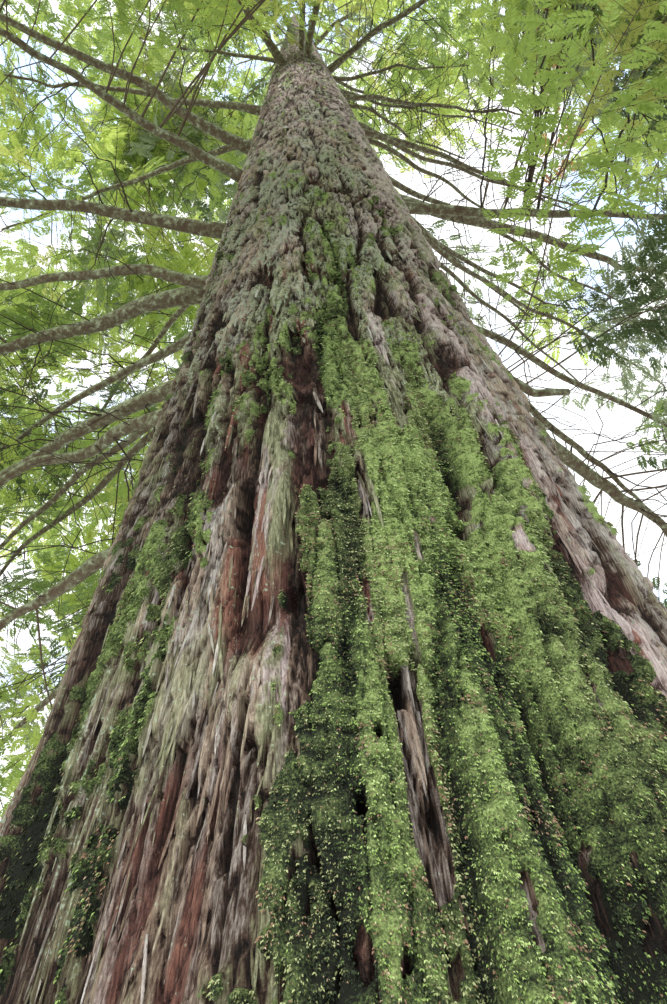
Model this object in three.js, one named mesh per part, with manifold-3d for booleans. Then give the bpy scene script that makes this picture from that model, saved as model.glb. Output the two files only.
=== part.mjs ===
// A giant sequoia tree: a fluted trunk that flares into the ground, long bare boughs,
// and masses of foliage made of twigs and flat, toothed sprays of needles.
// Millimetres, +Z up. The origin is the middle of the flat cut at ground level.
// An azimuth is in degrees from -Y, growing towards +X.
import * as THREE from "three";
import { mergeVertices } from "three/addons/utils/BufferGeometryUtils.js";
import Module from "manifold-3d";

const wasm = await Module();
wasm.setup();

// Trunk
const TRUNK_HEIGHT = 38900;
const BODY_RADIUS = 1218; // at the ground, without the flare
const BODY_TAPER = 0.893; // power of the taper: 1 is a straight cone
const TIP_RADIUS = 22;
const WIDE_FLARE = { radius: 398, fade: 2100 }; // lifts the whole butt
const ROOT_FLARE = { radius: 350, fade: 550 }; // the last metre above the ground
const FLARE_LOBES = [ // waves round the flare: count, share of the flare, phase
  { count: 5, share: 0.3, phase: 0.4 },
  { count: 8, share: 0.22, phase: 2.1 },
  { count: 13, share: 0.12, phase: 4.0 },
];
const FLUTES = { count: 9, share: 0.028, phase: 1.1, fade: 9000 };
const FURROWS = [ // long folds in the butt
  { azimuth: -17, depth: 120, width: 5, top: 4200 },
  { azimuth: 5, depth: 90, width: 4, top: 3000 },
  { azimuth: 19, depth: 80, width: 4, top: 4300 },
  { azimuth: 46, depth: 130, width: 6, top: 4800 },
  { azimuth: -48, depth: 110, width: 6, top: 5200 },
  { azimuth: -95, depth: 120, width: 7, top: 4200 },
  { azimuth: 98, depth: 120, width: 7, top: 5000 },
  { azimuth: 150, depth: 110, width: 7, top: 4600 },
  { azimuth: -146, depth: 120, width: 7, top: 3800 },
];
const FURROW_FADE = 900; // a furrow runs out over this height above its top
const TRUNK_SIDES = 40;
const TRUNK_ROWS = 16;
const ROW_POWER = 2.2; // above 1 crowds the rows towards the ground

// Crown
const CROWN_BASE = 5000;
const CROWN_TOP = 39500;
const CROWN_RADIUS = 8400;
const CROWN_SHAPE = { atBase: 0.76, opening: 1.0, fullness: 1.26, taper: 0.82 };

// Boughs
const BOUGH_TIP = 0.55; // diameter where a bough enters its mass, as a share of that at the trunk
const BOUGH_SIDES = 6;
const BOUGH_STEPS = 3;
const COLLAR = { swell: 0.35, length: 0.34 }; // the thicker foot of a bough
const STUB = { height: 6750, azimuth: 105, diameter: 90, length: 900, rise: 6 }; // a dead, broken bough
const LEFT_BOUGHS = { // the ones that the photograph shows on this side
  rise: { foot: 9, tip: -3 }, // degrees above level
  rows: [ // reach: where the bough enters its mass, as a share of the crown's radius
    { height: 5850, azimuth: -119, diameter: 150, reach: 0.42 },
    { height: 6750, azimuth: -137, diameter: 160, reach: 0.46 },
    { height: 7640, azimuth: -112, diameter: 170, reach: 0.62 },
    { height: 8880, azimuth: -99, diameter: 230, reach: 0.42 },
    { height: 9650, azimuth: -78, diameter: 140, reach: 0.6 },
    { height: 10280, azimuth: -54, diameter: 130, reach: 0.42 },
    { height: 12150, azimuth: -58, diameter: 140, reach: 0.5 },
    { height: 16420, azimuth: -77, diameter: 140, reach: 0.46 },
  ],
};
const RIGHT_BOUGHS = {
  rise: { foot: 9, tip: -3 },
  rows: [
    { height: 7960, azimuth: 131, diameter: 240, reach: 0.5 },
    { height: 9700, azimuth: 135, diameter: 150, reach: 0.6 },
    { height: 10950, azimuth: 98.5, diameter: 130, reach: 0.54 },
    { height: 12400, azimuth: 111.5, diameter: 180, reach: 0.54 },
    { height: 13880, azimuth: 142.5, diameter: 140, reach: 0.52 },
    { height: 17840, azimuth: 115.5, diameter: 150, reach: 0.58 },
    { height: 19020, azimuth: 100.5, diameter: 130, reach: 0.42 },
  ],
};
const FAR_BOUGHS = { // the hidden side
  rise: { foot: 8, tip: -4 },
  rows: spiral({ count: 4, height: 8300, step: 2500, azimuth: 166, turn: 31, diameter: 150, reach: 0.44 }),
};
const NEAR_BOUGHS = { // they spring above the open front and hang over it
  rise: { foot: -4, tip: -30 },
  rows: spiral({ count: 3, height: 18300, step: 450, azimuth: -28, turn: 44, diameter: 150, reach: 0.5 }),
};

// Foliage
const GAP = 0.3; // between a stem and what carries it
const SLIVER = 3; // faces slimmer than this are merged into their neighbours
const STEM_TIP = 0.4; // diameter of a stem's end, as a share of its foot
const STEM_DROP = 0.12; // fall of a stem over its length
const SWEEPS = [ // the masses of some boughs turn aside by some degrees
  { from: -140, to: -136, by: -14 },
  { from: -60, to: -50, by: 24 },
  { from: 96, to: 100, by: -24 },
];
const STEM_LENGTH = { least: 1700, most: 3600 };
const FULL_RADIUS = 4600; // where the crown is narrower, twigs and sprays are smaller in proportion
const TWIG = { first: 0.05, last: 0.88, angle: 58, length: 1950, shorten: 0.45, radius: 42, retry: 0.76 };
const TWIG_TILTS = [-34, 16, 4, -26, 26, -10]; // degrees above level, dealt out in turn
const TWIG_COUNT = 10;
const TWIG_TRIES = 8; // a twig that doesn't fit is tried again shorter
const SPRAY = { length: 2650, width: 1650, thick: 54, neck: 0.4, roll: 58, retry: 0.92 };
const SPRAY_EDGE = [ // half of the toothed edge: along the length, and out from the rib
  [0.34, 0.5],
  [0.46, 0.2],
  [0.8, 0.36],
];
const SPACE_MARGIN = 45; // a mass keeps this far inside the limit of its space
const LIMB_MARGIN = 25; // and this far from any limb
const OUTLINE_MARGIN = 450; // sprays may pass the crown's outline by this much
const UPPER_STEMS = { // masses that grow straight from the trunk
  rise: { first: 6, last: 50 }, // degrees above level
  rows: spiral({ count: 11, height: 20400, step: 1400, azimuth: 8, turn: 137.5, diameter: 130 }),
  thinning: 0.5, // share of the diameter lost by the last
};
const TOP_STEMS = { // the two that follow the leader to the tree's tip
  rise: { first: 80, last: 80 },
  rows: spiral({ count: 2, height: 35800, step: 300, azimuth: 40, turn: 180, diameter: 60 }),
  thinning: 0,
};

const BARK = new THREE.MeshStandardMaterial({ color: 0x6b4a3a, roughness: 0.95, metalness: 0 });
const BOUGH_BARK = new THREE.MeshStandardMaterial({ color: 0x7d7060, roughness: 0.9, metalness: 0 });
const NEEDLES = new THREE.MeshStandardMaterial({ color: 0x6f9a3c, roughness: 0.7, metalness: 0 });

// Rows that climb and turn evenly.
function spiral({ count, height, step, azimuth, turn, ...same }) {
  return Array.from({ length: count }, (_, i) => ({
    height: height + i * step,
    azimuth: azimuth + i * turn,
    ...same,
  }));
}

function radians(degrees) {
  return degrees * Math.PI / 180;
}

function mix(from, to, share) {
  return from + (to - from) * share;
}

function seeded(seed) {
  let state = seed >>> 0;
  return () => {
    state = (Math.imul(state, 1664525) + 1013904223) >>> 0;
    return state / 4294967296;
  };
}

// A level unit vector at an azimuth.
function outward(azimuth) {
  return new THREE.Vector3(Math.sin(radians(azimuth)), -Math.cos(radians(azimuth)), 0);
}

function angleBetween(a, b) {
  return Math.abs(((a - b) % 360 + 540) % 360 - 180);
}

// The trunk's radius at a height and an azimuth.
function trunkRadius(height, azimuth) {
  const turn = radians(azimuth);
  const along = Math.min(1, height / TRUNK_HEIGHT);
  const body = mix(TIP_RADIUS, BODY_RADIUS, (1 - along) ** BODY_TAPER);
  const flute = FLUTES.share * Math.exp(-height / FLUTES.fade) * Math.cos(FLUTES.count * turn + FLUTES.phase);
  const lobes = FLARE_LOBES.reduce((sum, w) => sum + w.share * Math.cos(w.count * turn + w.phase), 1);
  const flare = [WIDE_FLARE, ROOT_FLARE].reduce((sum, f) => sum + f.radius * Math.exp(-height / f.fade), 0);
  const cut = FURROWS.reduce((sum, f) => {
    const across = angleBetween(azimuth, f.azimuth) / f.width;
    const up = 1 / (1 + Math.exp((height - f.top) / FURROW_FADE));
    return sum + f.depth * up * Math.exp(-across * across);
  }, 0);
  return body * (1 + flute) + flare * lobes - cut;
}

function crownRadius(height) {
  const up = THREE.MathUtils.clamp((height - CROWN_BASE) / (CROWN_TOP - CROWN_BASE), 0, 1);
  const opening = CROWN_SHAPE.atBase + CROWN_SHAPE.opening * up;
  const closing = CROWN_SHAPE.fullness * (1 - up) ** CROWN_SHAPE.taper;
  return CROWN_RADIUS * Math.min(opening, closing);
}

// A three.js geometry as a solid that faces out.
function solidOf(geometry) {
  const bare = geometry.clone();
  bare.deleteAttribute("normal");
  bare.deleteAttribute("uv");
  const merged = mergeVertices(bare, 1e-3);
  const triVerts = new Uint32Array(merged.index.array);
  const vertProperties = merged.attributes.position.array;
  const solid = new wasm.Manifold(new wasm.Mesh({ numProp: 3, vertProperties, triVerts }));
  if (solid.volume() > 0) return solid;
  return new wasm.Manifold(new wasm.Mesh({ numProp: 3, vertProperties, triVerts: triVerts.reverse() }));
}

// The geometry of a solid's main body. A loose scrap is dropped.
function geometryOf(solid) {
  const bodies = solid.decompose().sort((a, b) => b.volume() - a.volume());
  const mesh = bodies[0].getMesh();
  return new THREE.BufferGeometry()
    .setAttribute("position", new THREE.BufferAttribute(mesh.vertProperties, 3))
    .setIndex(new THREE.BufferAttribute(mesh.triVerts, 1));
}

// The trunk, grown outwards by a margin.
function trunkSolid(margin) {
  const profile = [new THREE.Vector2(0, 0)];
  for (let row = 0; row <= TRUNK_ROWS; row++) {
    profile.push(new THREE.Vector2(1, TRUNK_HEIGHT * (row / TRUNK_ROWS) ** ROW_POWER));
  }
  profile.push(new THREE.Vector2(0, TRUNK_HEIGHT));
  const lathe = new THREE.LatheGeometry(profile, TRUNK_SIDES).rotateX(Math.PI / 2);
  const at = lathe.attributes.position;
  for (let i = 0; i < at.count; i++) {
    if (Math.hypot(at.getX(i), at.getY(i)) < 0.5) continue;
    const side = Math.round(Math.atan2(at.getX(i), -at.getY(i)) / (2 * Math.PI) * TRUNK_SIDES);
    const azimuth = (side % TRUNK_SIDES) * 360 / TRUNK_SIDES;
    const out = outward(azimuth).multiplyScalar(trunkRadius(at.getZ(i), azimuth) + margin);
    at.setXY(i, out.x, out.y);
  }
  return solidOf(lathe);
}

// A limb along a curve, whose radius is a function of how far along it is.
function limbSolid(curve, radiusAt, sides, steps) {
  const tube = new THREE.CylinderGeometry(1, 1, 1, sides, steps);
  const at = tube.attributes.position;
  const level = new THREE.Vector3(0, 0, 1);
  for (let i = 0; i < at.count; i++) {
    const along = at.getY(i) + 0.5;
    const ahead = curve.getTangent(along);
    const side = new THREE.Vector3().crossVectors(ahead, level).normalize();
    const over = new THREE.Vector3().crossVectors(side, ahead);
    const point = curve.getPoint(along)
      .addScaledVector(side, at.getX(i) * radiusAt(along))
      .addScaledVector(over, at.getZ(i) * radiusAt(along));
    at.setXYZ(i, point.x, point.y, point.z);
  }
  return solidOf(tube);
}

// A three-sided twig that ends in a spray: a flat blade with a toothed edge.
// Its corners are the twig's foot and its neck, then one side of the edge, the tip, the other side,
// and last the middle of the blade's upper and of its lower face.
function sprayCorners(twig, face, size) {
  const ahead = twig.to.clone().sub(twig.from).normalize();
  const across = new THREE.Vector3().crossVectors(face, ahead).normalize();
  const up = new THREE.Vector3().crossVectors(ahead, across);
  const ring = (centre, r) => [[0.87, -0.5], [-0.87, -0.5], [0, 1]]
    .map(([x, y]) => centre.clone().addScaledVector(across, x * r).addScaledVector(up, y * r));
  const place = (x, y, z) => twig.to.clone()
    .addScaledVector(ahead, x * SPRAY.length * size)
    .addScaledVector(across, y * SPRAY.width * size)
    .addScaledVector(up, z * SPRAY.thick * size);
  return [
    ...ring(twig.from, twig.radius),
    ...ring(twig.to, twig.radius * SPRAY.neck),
    ...SPRAY_EDGE.map(([x, y]) => place(x, y, 0)),
    place(1, 0, 0),
    ...SPRAY_EDGE.map(([x, y]) => place(x, -y, 0)).reverse(),
    place(0.36, 0, 0.5),
    place(0.36, 0, -0.5),
  ];
}

function spraySolid(corners) {
  const [footRight, footLeft, footTop, neckRight, neckLeft, neckTop] = [0, 1, 2, 3, 4, 5];
  const upper = corners.length - 2;
  const lower = corners.length - 1;
  const edge = [neckRight];
  for (let i = 6; i < upper; i++) edge.push(i);
  edge.push(neckLeft);
  const order = [footRight, footTop, footLeft];
  const foot = [footRight, footLeft, footTop];
  const neck = [neckRight, neckLeft, neckTop];
  for (let i = 0; i < 3; i++) {
    const next = (i + 1) % 3;
    order.push(foot[i], foot[next], neck[next], foot[i], neck[next], neck[i]);
  }
  for (let i = 0; i + 1 < edge.length; i++) {
    order.push(edge[i], edge[i + 1], upper, edge[i + 1], edge[i], lower);
  }
  order.push(neckLeft, neckTop, upper, neckTop, neckRight, upper, neckRight, neckLeft, lower);
  return solidOf(new THREE.BufferGeometry().setFromPoints(corners).setIndex(order));
}

// A bough runs from inside the trunk to where it enters its mass.
function makeBough(row, rise) {
  const out = outward(row.azimuth);
  const start = trunkRadius(row.height, row.azimuth) - 2 * row.diameter;
  const half = (row.reach * crownRadius(row.height) - start) / 2;
  const foot = out.clone().multiplyScalar(start).setZ(row.height);
  const knee = foot.clone().addScaledVector(out, half);
  knee.z += half * Math.tan(radians(rise.foot));
  const tip = knee.clone().addScaledVector(out, half);
  tip.z += half * Math.tan(radians(rise.tip));
  const curve = new THREE.QuadraticBezierCurve3(foot, knee, tip);
  const radiusAt = (along) => {
    const collar = 1 + COLLAR.swell * Math.max(0, 1 - along / COLLAR.length) ** 2;
    return row.diameter / 2 * mix(1, BOUGH_TIP, along) * collar;
  };
  return { row, curve, solid: limbSolid(curve, radiusAt, BOUGH_SIDES, BOUGH_STEPS) };
}

function makeStub({ height, azimuth, diameter, length, rise }) {
  const out = outward(azimuth);
  const foot = out.clone().multiplyScalar(trunkRadius(height, azimuth) - 2 * diameter).setZ(height);
  const tip = out.clone().multiplyScalar(trunkRadius(height, azimuth) + length);
  tip.z = height + length * Math.tan(radians(rise));
  const radiusAt = (along) => diameter / 2 * mix(1, BOUGH_TIP, along);
  return limbSolid(new THREE.LineCurve3(foot, tip), radiusAt, BOUGH_SIDES, 1);
}

// A mass has one stem. Its space is the part of the crown that is nearer to its centre
// than to the centre of any other mass.
function makeStem(foot, ahead, end, radius) {
  const knee = foot.clone().addScaledVector(ahead, 0.4 * foot.distanceTo(end));
  const curve = new THREE.QuadraticBezierCurve3(foot, knee, end);
  const radiusAt = (along) => radius * mix(1, STEM_TIP, along);
  const scale = Math.min(1, crownRadius(foot.z) / FULL_RADIUS);
  const solid = limbSolid(curve, radiusAt, 3, 2);
  return { curve, radiusAt, scale, solid, centre: curve.getPoint(0.7) };
}

function stemOnBough({ row, curve }) {
  const tip = curve.getPoint(1);
  const ahead = curve.getTangent(1);
  const sweep = SWEEPS.find((s) => row.azimuth > s.from && row.azimuth < s.to);
  const heading = outward(row.azimuth + (sweep ? sweep.by : 0));
  const room = crownRadius(row.height) - SPRAY.length * 0.8 - Math.hypot(tip.x, tip.y);
  const length = THREE.MathUtils.clamp(room, STEM_LENGTH.least, STEM_LENGTH.most);
  const end = tip.clone().addScaledVector(heading, length);
  end.z += length * (ahead.z - STEM_DROP);
  return makeStem(tip.addScaledVector(ahead, GAP), ahead, end, row.diameter * BOUGH_TIP / 2);
}

function stemOnTrunk(row, index, ring) {
  const share = index / (ring.rows.length - 1);
  const out = outward(row.azimuth);
  const radius = row.diameter / 2 * (1 - ring.thinning * share);
  const foot = out.clone().multiplyScalar(trunkRadius(row.height, row.azimuth) - radius).setZ(row.height);
  const rise = radians(mix(ring.rise.first, ring.rise.last, share ** 1.5));
  const ahead = out.clone().multiplyScalar(Math.cos(rise)).setZ(Math.sin(rise));
  const scale = Math.min(1, crownRadius(row.height) / FULL_RADIUS);
  const room = crownRadius(row.height) / Math.cos(Math.min(rise, 0.9)) - 0.8 * scale * SPRAY.length;
  const toTop = (CROWN_TOP - row.height - 0.9 * scale * SPRAY.length) / Math.sin(rise);
  const end = foot.clone().addScaledVector(ahead, ring === TOP_STEMS ? toTop : room);
  return makeStem(foot, ahead, end, radius);
}

// Whether points keep to a mass's own space and inside the crown.
function keepsToSpace(points, stem, stems) {
  return points.every((p) => {
    if (p.z > CROWN_TOP) return false;
    if (Math.hypot(p.x, p.y) > crownRadius(p.z) + OUTLINE_MARGIN) return false;
    return stems.every((other) => {
      if (other === stem) return true;
      const apart = other.centre.clone().sub(stem.centre);
      const beyond = p.clone().sub(stem.centre).dot(apart) / apart.length();
      return beyond < apart.length() / 2 - SPACE_MARGIN;
    });
  });
}

// The twigs of a mass branch from its stem, each with a spray at its end, by one seeded rule.
// One that would leave the mass's space or come near a limb or a spray is tried shorter, then skipped.
function makeMass(stem, index, stems, limbs) {
  const random = seeded(1000 + index);
  const others = limbs.filter((limb) => limb !== stem.solid);
  const sprays = [];
  const clear = (solid) => [...others, ...sprays]
    .every((other) => solid.minGap(other, 2 * LIMB_MARGIN) > LIMB_MARGIN);

  const grow = (along, heading, face, length, size) => {
    const from = stem.curve.getPoint(along);
    const radius = Math.min(TWIG.radius, 0.55 * stem.radiusAt(along));
    for (let tries = 0; tries < TWIG_TRIES; tries++) {
      const to = from.clone().addScaledVector(heading, length * TWIG.retry ** tries);
      const corners = sprayCorners({ from, to, radius }, face, size * SPRAY.retry ** tries);
      if (!keepsToSpace(corners, stem, stems)) continue;
      const spray = spraySolid(corners);
      if (!clear(spray)) continue;
      sprays.push(spray);
      return;
    }
  };

  for (let i = 0; i < TWIG_COUNT; i++) {
    const along = mix(TWIG.first, TWIG.last, i / (TWIG_COUNT - 1));
    const ahead = stem.curve.getTangent(along);
    const side = new THREE.Vector3().crossVectors(ahead, new THREE.Vector3(0, 0, 1)).normalize();
    if (i % 2) side.negate();
    const up = new THREE.Vector3().crossVectors(ahead, side).normalize();
    if (up.z < 0) up.negate();
    const tilt = radians(TWIG_TILTS[i % TWIG_TILTS.length] + 10 * (random() - 0.5));
    const angle = radians(TWIG.angle + 14 * (random() - 0.5));
    const heading = ahead.clone().multiplyScalar(Math.cos(angle))
      .addScaledVector(side, Math.sin(angle) * Math.cos(tilt))
      .addScaledVector(up, Math.sin(angle) * Math.sin(tilt));
    const face = up.clone().applyAxisAngle(heading, radians(SPRAY.roll * 2 * (random() - 0.5)));
    const length = TWIG.length * stem.scale * (1 - TWIG.shorten * along) * mix(0.8, 1.1, random());
    grow(along, heading, face, length, stem.scale * mix(0.85, 1.1, random()));
  }
  const flat = new THREE.Vector3(0.1, 0.1, 1).normalize();
  grow(0.93, stem.curve.getTangent(1), flat, 0.2 * SPRAY.length * stem.scale, stem.scale);
  return wasm.Manifold.union([stem.solid, ...sprays]).simplify(SLIVER);
}

function named(name, geometry, material) {
  const mesh = new THREE.Mesh(geometry, material);
  mesh.name = name;
  return mesh;
}

function numbered(word, index) {
  return word + "_" + String(index + 1).padStart(2, "0");
}

const tree = new THREE.Group();
const trunk = trunkSolid(0);
const grownTrunk = trunkSolid(GAP);
tree.add(named("trunk", geometryOf(trunk), BARK));

const stub = makeStub(STUB);
tree.add(named("dead_stub", geometryOf(stub.subtract(grownTrunk)), BOUGH_BARK));

const boughs = [LEFT_BOUGHS, RIGHT_BOUGHS, FAR_BOUGHS, NEAR_BOUGHS]
  .flatMap((side) => side.rows.map((row) => makeBough(row, side.rise)));
boughs.forEach((bough, i) => {
  tree.add(named(numbered("bough", i), geometryOf(bough.solid.subtract(grownTrunk)), BOUGH_BARK));
});

const boughStems = boughs.map(stemOnBough);
const trunkStems = [UPPER_STEMS, TOP_STEMS]
  .flatMap((ring) => ring.rows.map((row, i) => stemOnTrunk(row, i, ring)));
const stems = [...boughStems, ...trunkStems];
const limbs = [trunk, stub, ...boughs.map((bough) => bough.solid), ...stems.map((stem) => stem.solid)];
stems.forEach((stem, i) => {
  const onTrunk = trunkStems.includes(stem);
  const near = limbs.filter((limb) => !(onTrunk && limb === trunk));
  const mass = makeMass(stem, i, stems, near);
  const cut = onTrunk ? mass.subtract(grownTrunk) : mass;
  tree.add(named(numbered("foliage", i), geometryOf(cut), NEEDLES));
});

export default tree;
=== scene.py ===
import bpy
import numpy as np
from mathutils import Matrix, Vector


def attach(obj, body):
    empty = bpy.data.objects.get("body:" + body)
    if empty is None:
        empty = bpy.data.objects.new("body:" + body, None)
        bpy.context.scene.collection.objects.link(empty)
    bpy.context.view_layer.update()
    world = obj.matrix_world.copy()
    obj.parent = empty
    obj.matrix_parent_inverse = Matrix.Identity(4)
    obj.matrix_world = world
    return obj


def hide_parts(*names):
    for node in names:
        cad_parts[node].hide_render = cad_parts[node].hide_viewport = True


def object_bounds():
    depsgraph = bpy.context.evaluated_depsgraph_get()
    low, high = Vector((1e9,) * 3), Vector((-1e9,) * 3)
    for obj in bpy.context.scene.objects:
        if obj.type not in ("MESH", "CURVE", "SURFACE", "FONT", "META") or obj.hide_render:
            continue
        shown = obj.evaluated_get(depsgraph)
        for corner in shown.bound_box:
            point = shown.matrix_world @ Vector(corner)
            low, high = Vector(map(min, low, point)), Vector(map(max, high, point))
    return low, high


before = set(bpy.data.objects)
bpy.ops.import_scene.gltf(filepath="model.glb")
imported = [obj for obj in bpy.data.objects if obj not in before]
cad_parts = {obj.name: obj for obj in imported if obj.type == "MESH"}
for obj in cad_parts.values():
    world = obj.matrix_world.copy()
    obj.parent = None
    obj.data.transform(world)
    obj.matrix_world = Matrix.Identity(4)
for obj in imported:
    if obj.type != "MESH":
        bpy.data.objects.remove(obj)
cad_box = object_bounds()

# Camera: beside the foot of the tree, looking up the trunk
EYE = np.array([0.0, -2.6, 1.6])
LOOK_UP, ROLL, TURN = np.radians([53.0, -4.8, -1.4])
LONG_SIDE_MM = 36.0
LENS_MM = 27.04
PICTURE = np.array([667, 1004])
MIDDLE = PICTURE / 2
FOCAL = LENS_MM / LONG_SIDE_MM * PICTURE[1]  # pixels
FRAME_MARGIN = 90  # pixels round the picture that count as seen
SIGHT_STEPS = 24  # places tried on each line of sight
HIDING_SHARE = 0.92  # the share of the trunk's radius that hides what is behind

# Areas of the picture, in pixels
SIDES_MEET, LOW_BELOW, TOP_ABOVE, OVERHEAD_ABOVE = 330, 430, 170, 120
OPENING = (520, 300, 150, 190)  # middle and half sizes of the sky beside the trunk
LIME_UP_TO, LIME_UP_TO_AT_TOP = 240, 470

# Trunk, as in the solids
TRUNK_HEIGHT = 38.9
BODY_RADIUS = 1.218
BODY_TAPER = 0.893
TIP_RADIUS = 0.022
FLARES = [(0.398, 2.1), (0.35, 0.55)]  # radius, fade
FLARE_LOBES = [(5, 0.3, 0.4), (8, 0.22, 2.1), (13, 0.12, 4.0)]  # count, share of the flare, phase
FLUTE_COUNT, FLUTE_SHARE, FLUTE_PHASE, FLUTE_FADE = 9, 0.028, 1.1, 9.0
FURROWS = [  # azimuth, depth, width in degrees, top
    (-17, 0.12, 5, 4.2),
    (5, 0.09, 4, 3.0),
    (19, 0.08, 4, 4.3),
    (46, 0.13, 6, 4.8),
    (-48, 0.11, 6, 5.2),
    (-95, 0.12, 7, 4.2),
    (98, 0.12, 7, 5.0),
    (150, 0.11, 7, 4.6),
    (-146, 0.12, 7, 3.8),
]
FURROW_FADE = 0.9

# Crown, as in the solids
CROWN_BASE, CROWN_TOP, CROWN_RADIUS = 5.0, 39.5, 8.4
CROWN_AT_BASE, CROWN_OPENING, CROWN_FULLNESS, CROWN_TAPER = 0.76, 1.0, 1.26, 0.82

# Boughs, as in the solids: height, azimuth, diameter, reach as a share of the crown's radius
BOUGH_TIP = 0.55
COLLAR_SWELL, COLLAR_LENGTH = 0.35, 0.34
SIDE_RISE, FAR_RISE, NEAR_RISE = (9, -3), (8, -4), (-4, -30)  # degrees at the foot and the tip
LEFT_BOUGHS = [
    (5.85, -119, 0.15, 0.42),
    (6.75, -137, 0.16, 0.46),
    (7.64, -112, 0.17, 0.62),
    (8.88, -99, 0.23, 0.42),
    (9.65, -78, 0.14, 0.6),
    (10.28, -54, 0.13, 0.42),
    (12.15, -58, 0.14, 0.5),
    (16.42, -77, 0.14, 0.46),
]
RIGHT_BOUGHS = [
    (7.96, 131, 0.24, 0.5),
    (9.7, 135, 0.15, 0.6),
    (10.95, 98.5, 0.13, 0.54),
    (12.4, 111.5, 0.18, 0.54),
    (13.88, 142.5, 0.14, 0.52),
    (17.84, 115.5, 0.15, 0.58),
    (19.02, 100.5, 0.13, 0.42),
]
FAR_BOUGHS = [(8.3 + 2.5 * i, 166 + 31 * i, 0.15, 0.44) for i in range(4)]
NEAR_BOUGHS = [(18.3 + 0.45 * i, -28 + 44 * i, 0.15, 0.5) for i in range(3)]
STUB_HEIGHT, STUB_AZIMUTH, STUB_DIAMETER, STUB_LENGTH, STUB_RISE = 6.75, 105, 0.09, 0.9, 6
# The thinner boughs of the photograph, which the solids leave out
THIN_BOUGHS = [
    (6.2, -135, 0.13, 0.85),
    (7.2, -111.5, 0.14, 0.65),
    (8.0, -123, 0.11, 0.75),
    (8.5, -85, 0.12, 0.62),
    (8.75, -129, 0.12, 0.85),
    (9.02, -115.5, 0.12, 0.7),
    (9.25, 124, 0.1, 0.85),
    (12.5, 126, 0.1, 0.85),
    (13.25, 134, 0.09, 0.75),
    (13.6, 127, 0.12, 0.6),
    (14.33, 132.1, 0.11, 0.62),
    (14.75, 122, 0.1, 0.85),
    (17.0, 114, 0.1, 0.85),
    (17.25, 121.9, 0.11, 0.66),
    (19.13, 143, 0.1, 0.6),
    (20.12, 117.9, 0.1, 0.62),
    (20.75, 108, 0.09, 0.8),
    (20.85, 91.6, 0.09, 0.6),
    (22.45, 112.8, 0.09, 0.6),
]

# Masses of foliage, as in the solids
STEM_TIP, STEM_DROP = 0.4, 0.12
SWEEPS = [(-140, -136, -14), (-60, -50, 24), (96, 100, -24)]  # from, to, turned by
STEM_LENGTH = (1.7, 3.6)
FULL_RADIUS = 4.6
TWIG_FIRST, TWIG_LAST, TWIG_ANGLE, TWIG_LENGTH, TWIG_SHORTEN = 0.05, 0.88, 58, 1.95, 0.45
TWIG_RADIUS = 0.042
TWIG_TILTS = [-34, 16, 4, -26, 26, -10]
TWIG_TILT_SPREAD, TWIG_ANGLE_SPREAD = 10, 14
TWIG_LENGTH_SPREAD, SPRAY_SIZE_SPREAD = (0.8, 1.1), (0.85, 1.1)
TWIG_COUNT, TWIG_TRIES, TWIG_RETRY, SPRAY_RETRY = 10, 8, 0.76, 0.92
SPRAY_LENGTH, SPRAY_WIDTH, SPRAY_ROLL = 2.65, 1.65, 58
OUTLINE_MARGIN, REACH_MARGIN = 0.45, 0.12
UPPER_COUNT, UPPER_RISE, UPPER_THINNING = 11, (6, 50), 0.5
UPPER_STEMS = [(20.4 + 1.4 * i, 8 + 137.5 * i, 0.13) for i in range(UPPER_COUNT)]
TOP_RISE = (80, 80)
TOP_STEMS = [(35.8 + 0.3 * i, 40 + 180 * i, 0.06) for i in range(2)]


# Small helpers
UP = np.array([0, 0, 1.0])


def unit(v):
    return v / np.maximum(np.linalg.norm(v, axis=-1, keepdims=True), 1e-9)


def mix(low, high, share):
    return low + (high - low) * share


def smoothstep(low, high, x):
    t = np.clip((x - low) / (high - low), 0, 1)
    return t * t * (3 - 2 * t)


def outward(azimuth):
    a = np.radians(azimuth)
    return np.stack([np.sin(a), -np.cos(a), np.zeros_like(a)], -1)


def degrees_between(a, b):
    return np.abs((a - b + 180) % 360 - 180)


def trunk_radius(height, azimuth):
    turn = np.radians(azimuth)
    left = 1 - np.clip(height / TRUNK_HEIGHT, 0, 1)
    body = mix(TIP_RADIUS, BODY_RADIUS, left**BODY_TAPER)
    flute = FLUTE_SHARE * np.exp(-height / FLUTE_FADE) * np.cos(FLUTE_COUNT * turn + FLUTE_PHASE)
    lobes = 1 + sum(share * np.cos(count * turn + phase) for count, share, phase in FLARE_LOBES)
    flare = sum(radius * np.exp(-height / fade) for radius, fade in FLARES)
    cut = 0
    for at, depth, width, top in FURROWS:
        up = 1 / (1 + np.exp((height - top) / FURROW_FADE))
        cut = cut + depth * up * np.exp(-((degrees_between(azimuth, at) / width) ** 2))
    return body * (1 + flute) + flare * lobes - cut


def crown_radius(height):
    up = np.clip((height - CROWN_BASE) / (CROWN_TOP - CROWN_BASE), 0, 1)
    opening = CROWN_AT_BASE + CROWN_OPENING * up
    closing = CROWN_FULLNESS * (1 - up) ** CROWN_TAPER
    return CROWN_RADIUS * np.minimum(opening, closing)


def within_crown(points):
    """Whether places keep to the crown's outline and the solids' box."""
    low, high = np.array(cad_box) + [[-REACH_MARGIN], [REACH_MARGIN]]
    from_axis = np.hypot(points[..., 0], points[..., 1])
    in_box = np.all((points > low) & (points < high), axis=-1)
    return in_box & (from_axis < crown_radius(points[..., 2]) + OUTLINE_MARGIN)


def bezier(foot, knee, end, t):
    t = np.asarray(t, float)[..., None]
    return (1 - t) ** 2 * foot + 2 * t * (1 - t) * knee + t * t * end


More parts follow.
